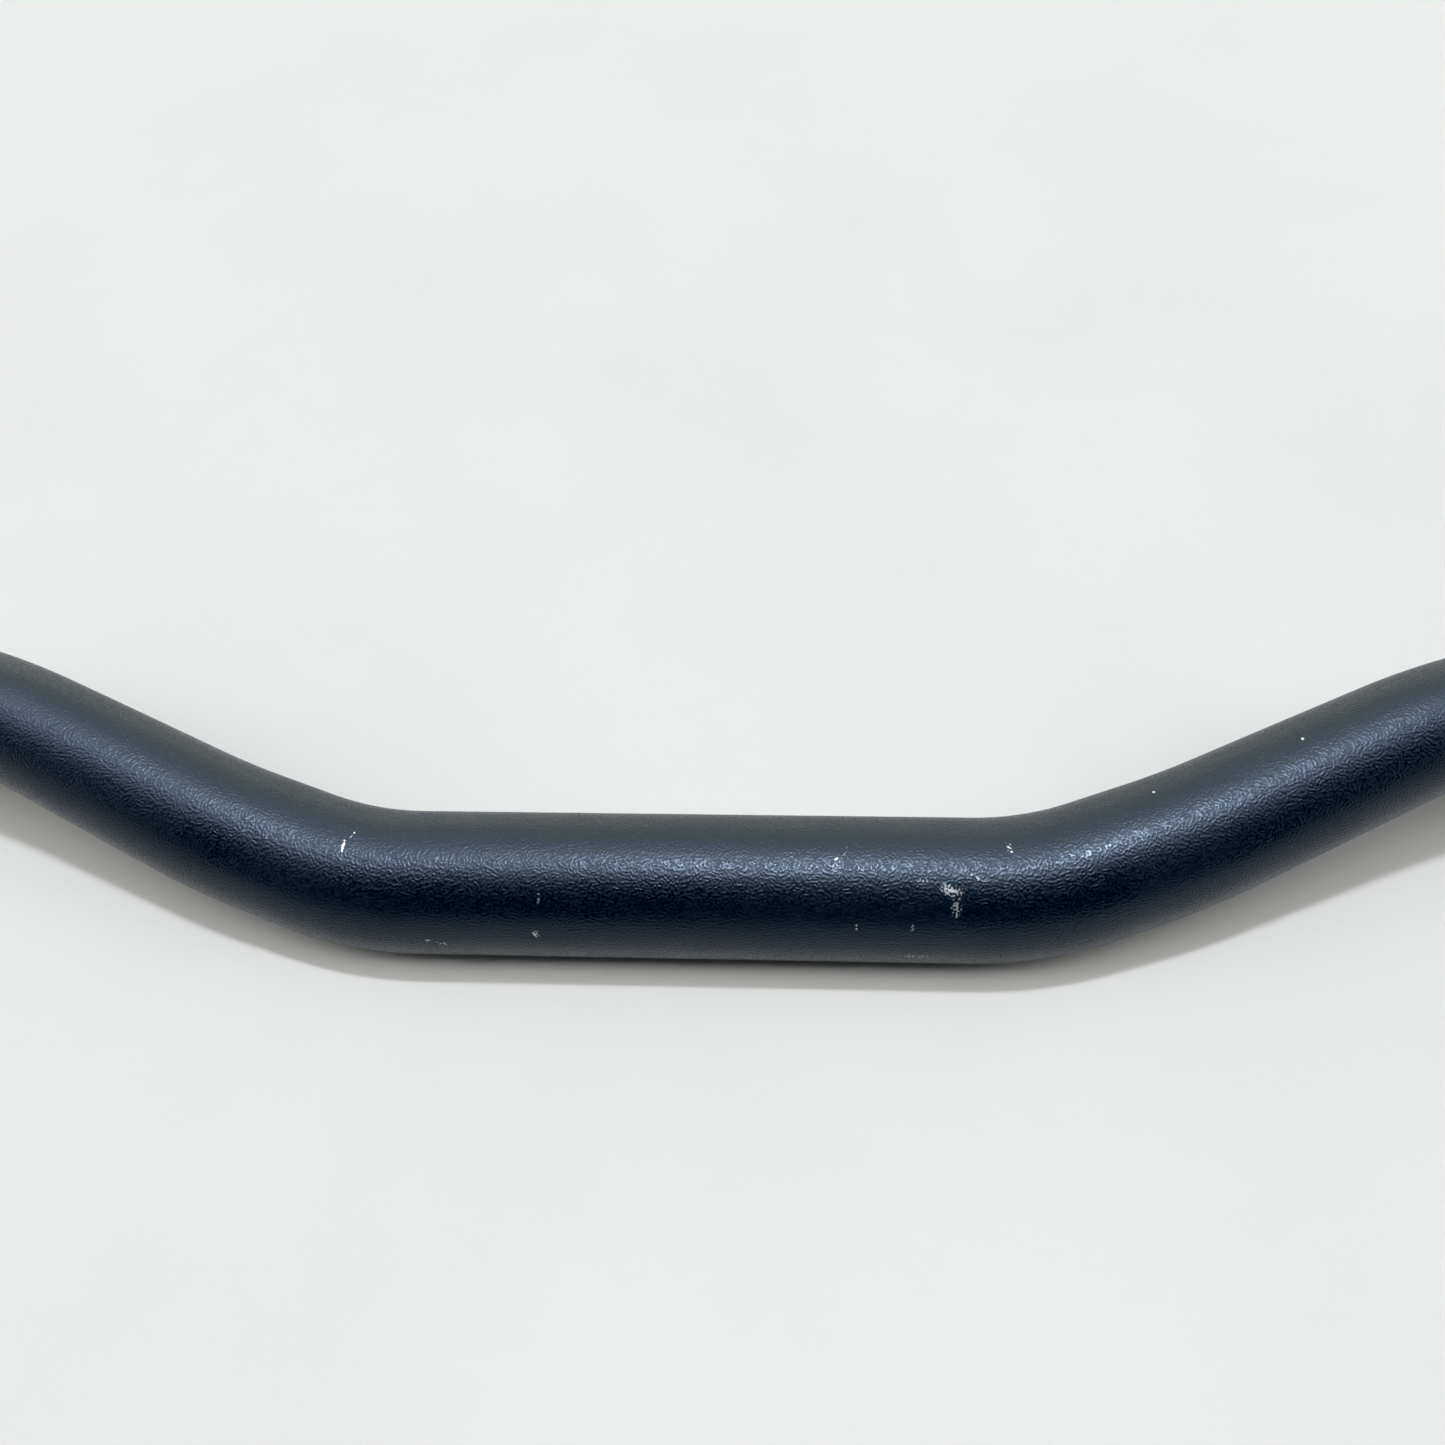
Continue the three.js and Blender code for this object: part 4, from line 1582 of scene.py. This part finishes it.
@dataclass
class Studio:
    """The bench, the light and the camera.

    Attributes:
        bench_height: Height of the bench top.
        bench_size: Length of its sides.
        target: The point that the camera is aimed at.
        azimuth: The camera's bearing from -Y towards +X, in degrees.
        elevation: Its height above the horizon, in degrees.
        roll: How far it is turned about its own view, in degrees.
        distance: How far it stands from its target.
        lens: Focal length for a 36 mm sensor, in millimetres.
        soft_sky: Light that the arc over the bar throws on the bench, by degrees from straight
            up towards -Y.
        mirrored_ends: Light of the two ends as gloss mirrors it.
        mirrored_sky: Light of the arc over the bar as gloss mirrors it.
        backdrop: What the camera sees past the bench.
        lamp_strength: The overhead lamp's light on a face square to it.
        lamp_spread: The angle that it fills, in degrees.
        lamp_lean: How far it stands from straight above towards -Y, in degrees.
        lamp_colour: Its colour.
    """

    bench_height: float = -14.3 * MM
    bench_size: float = 24.0
    target: tuple[float, float, float] = (4.02 * MM, 40.41 * MM, 0.0)
    azimuth: float = 5.83
    elevation: float = 53.65
    roll: float = -4.22
    distance: float = 312.1 * MM
    lens: float = 36.12
    soft_sky: tuple[tuple[float, Colour], ...] = (
        (-180, (0.0, 0.0, 0.0)),
        (-92, (0.08, 0.08, 0.08)),
        (-22, (0.10, 0.10, 0.10)),
        (-4, (0.35, 0.35, 0.34)),
        (2, (1.60, 1.59, 1.53)),
        (8, (3.60, 3.57, 3.40)),
        (14, (4.60, 4.56, 4.36)),
        (20, (5.20, 5.15, 4.92)),
        (23.5, (0.60, 0.60, 0.57)),
        (30, (0.10, 0.10, 0.10)),
        (92, (0.05, 0.05, 0.05)),
    )
    mirrored_ends: Colour = (0.90, 0.90, 0.90)
    mirrored_sky: tuple[tuple[float, Colour], ...] = (
        (-180, (0.0, 0.0, 0.0)),
        (-92, (2.00, 1.90, 1.64)),
        (-60, (1.46, 1.48, 1.24)),
        (-36, (1.80, 1.90, 1.70)),
        (-22, (2.70, 2.90, 3.10)),
        (-8, (3.20, 3.50, 4.30)),
        (4, (2.20, 2.40, 3.00)),
        (16, (0.40, 0.50, 0.70)),
        (26, (0.002, 0.004, 0.008)),
        (104, (0.002, 0.004, 0.008)),
    )
    backdrop: Colour = (0.83, 0.84, 0.84)
    lamp_strength: float = 1.80
    lamp_spread: float = 4.0
    lamp_lean: float = -3.0
    lamp_colour: Colour = (0.93, 0.96, 1.0)

    def build(self) -> None:
        """Makes the bench, the dome, the lamp and the camera."""
        self.bench()
        self.dome()
        self.lamp()
        self.camera()

    def bench(self) -> None:
        """A flat square top."""
        half = self.bench_size / 2
        corners = np.array([(-half, -half), (half, -half), (half, half), (-half, half)])
        points = np.column_stack([corners, np.full(4, self.bench_height)])
        mesh = bpy.data.meshes.new("bench_top")
        mesh.from_pydata(points, [], [(0, 1, 2, 3)])
        mesh.materials.append(BenchPaint().material())
        top = bpy.data.objects.new("bench_top", mesh)
        bpy.context.scene.collection.objects.link(top)
        log.info("bench top at %.4f m", self.bench_height)

    def dome(self) -> None:
        """Soft light over the bench.

        With t the angle from straight up towards -Y, the light follows a ramp of t. The bench is
        lit by one dome, a long panel over the bar that fades towards the horizon. Gloss mirrors
        another, which is dark on the near side, where a dark screen stands, and changes smoothly
        to the light of the end panels as |x| of a direction grows.
        """
        world = bpy.data.worlds.new("studio_dome")
        bpy.context.scene.world = world
        world.use_nodes = True
        n = Nodes.of_tree(world.node_tree)
        way = n.add("ShaderNodeTexCoord", {}).outputs["Generated"]
        x, y, z = n.add("ShaderNodeSeparateXYZ", {0: way}).outputs
        angle = n.math("ARCTAN2", n.math("MULTIPLY", y, -1.0), z)
        share = n.math("MULTIPLY_ADD", angle, 1 / TURN, 0.5)
        outward = n.math("ABSOLUTE", x)
        path = n.add("ShaderNodeLightPath", {}).outputs
        mirrored = n.ramp(share, [(t / 360 + 0.5, colour) for t, colour in self.mirrored_sky])
        mirrored = n.blend(n.spread(outward, 0.7, 0.95), mirrored, self.mirrored_ends)
        soft = n.ramp(share, [(t / 360 + 0.5, colour) for t, colour in self.soft_sky])
        soft = n.blend(n.spread(z, 0.0, 0.3), (0.0, 0.0, 0.0), soft)
        light = n.blend(path["Is Diffuse Ray"], mirrored, soft)
        seen = n.blend(path["Is Camera Ray"], light, self.backdrop)
        glow = n.add("ShaderNodeBackground", {"Color": seen})
        n.add("ShaderNodeOutputWorld", {"Surface": glow.outputs[0]})
        log.info("dome light")

    def lamp(self) -> None:
        """The far-off overhead panel that draws the bar's narrow shadow and its highlight."""
        panel = bpy.data.lights.new("overhead_lamp", "SUN")
        panel.energy = self.lamp_strength
        panel.angle = math.radians(self.lamp_spread)
        panel.color = self.lamp_colour
        placed = bpy.data.objects.new("overhead_lamp", panel)
        placed.location = (0.0, 0.0, 1.0)
        placed.rotation_euler = (math.radians(self.lamp_lean), 0.0, 0.0)
        bpy.context.scene.collection.objects.link(placed)
        log.info("overhead lamp")

    def camera(self) -> None:
        """A level camera turned to its bearing, tilted to its elevation and rolled."""
        a, e, r = (math.radians(x) for x in (self.azimuth, self.elevation, self.roll))
        back = Vector((math.sin(a) * math.cos(e), -math.cos(a) * math.cos(e), math.sin(e)))
        right = (-back).cross(Vector((0, 0, 1))).normalized()
        up = right.cross(-back)
        x = right * math.cos(r) + up * math.sin(r)
        y = up * math.cos(r) - right * math.sin(r)
        lens = bpy.data.cameras.new("camera")
        lens.sensor_width = 36.0
        lens.lens = self.lens
        lens.clip_start = 0.01
        camera = bpy.data.objects.new("camera", lens)
        camera.matrix_world = Matrix.Translation(
            Vector(self.target) + back * self.distance
        ) @ Matrix((x, y, back)).transposed().to_4x4()
        bpy.context.scene.collection.objects.link(camera)
        bpy.context.scene.camera = camera
        log.info("camera %.0f mm from its target", self.distance / MM)


def corners(box: tuple[Vector, Vector]) -> list[list[float]]:
    """A box's lowest and highest corner as plain lists."""
    return [[float(x) for x in corner] for corner in box]


def developed(black: Colour = (0.0060, 0.0052, 0.0042)) -> None:
    """Sets how light becomes colour: the plain transform, with a black a little above no light.

    Args:
        black: The light that comes out black.
    """
    view = bpy.context.scene.view_settings
    view.view_transform = "Standard"
    view.use_curve_mapping = True
    view.curve_mapping.black_level = black
    view.curve_mapping.update()


def main() -> None:
    """Loads the frame, builds the studio, the tube and both ends."""
    logging.basicConfig(level=logging.INFO, format="%(name)s: %(message)s")
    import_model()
    developed()
    Studio().build()
    finishes = Finishes.made()
    axis = BentAxis()
    tube = HandlebarTube(axis).build([finishes.coat, finishes.bore])
    fit(tube, "handlebar_tube", "handlebar")
    for side in Side:
        EndFittings(EndFrame.of(axis, side), finishes).build()


if __name__ == "__main__":
    main()
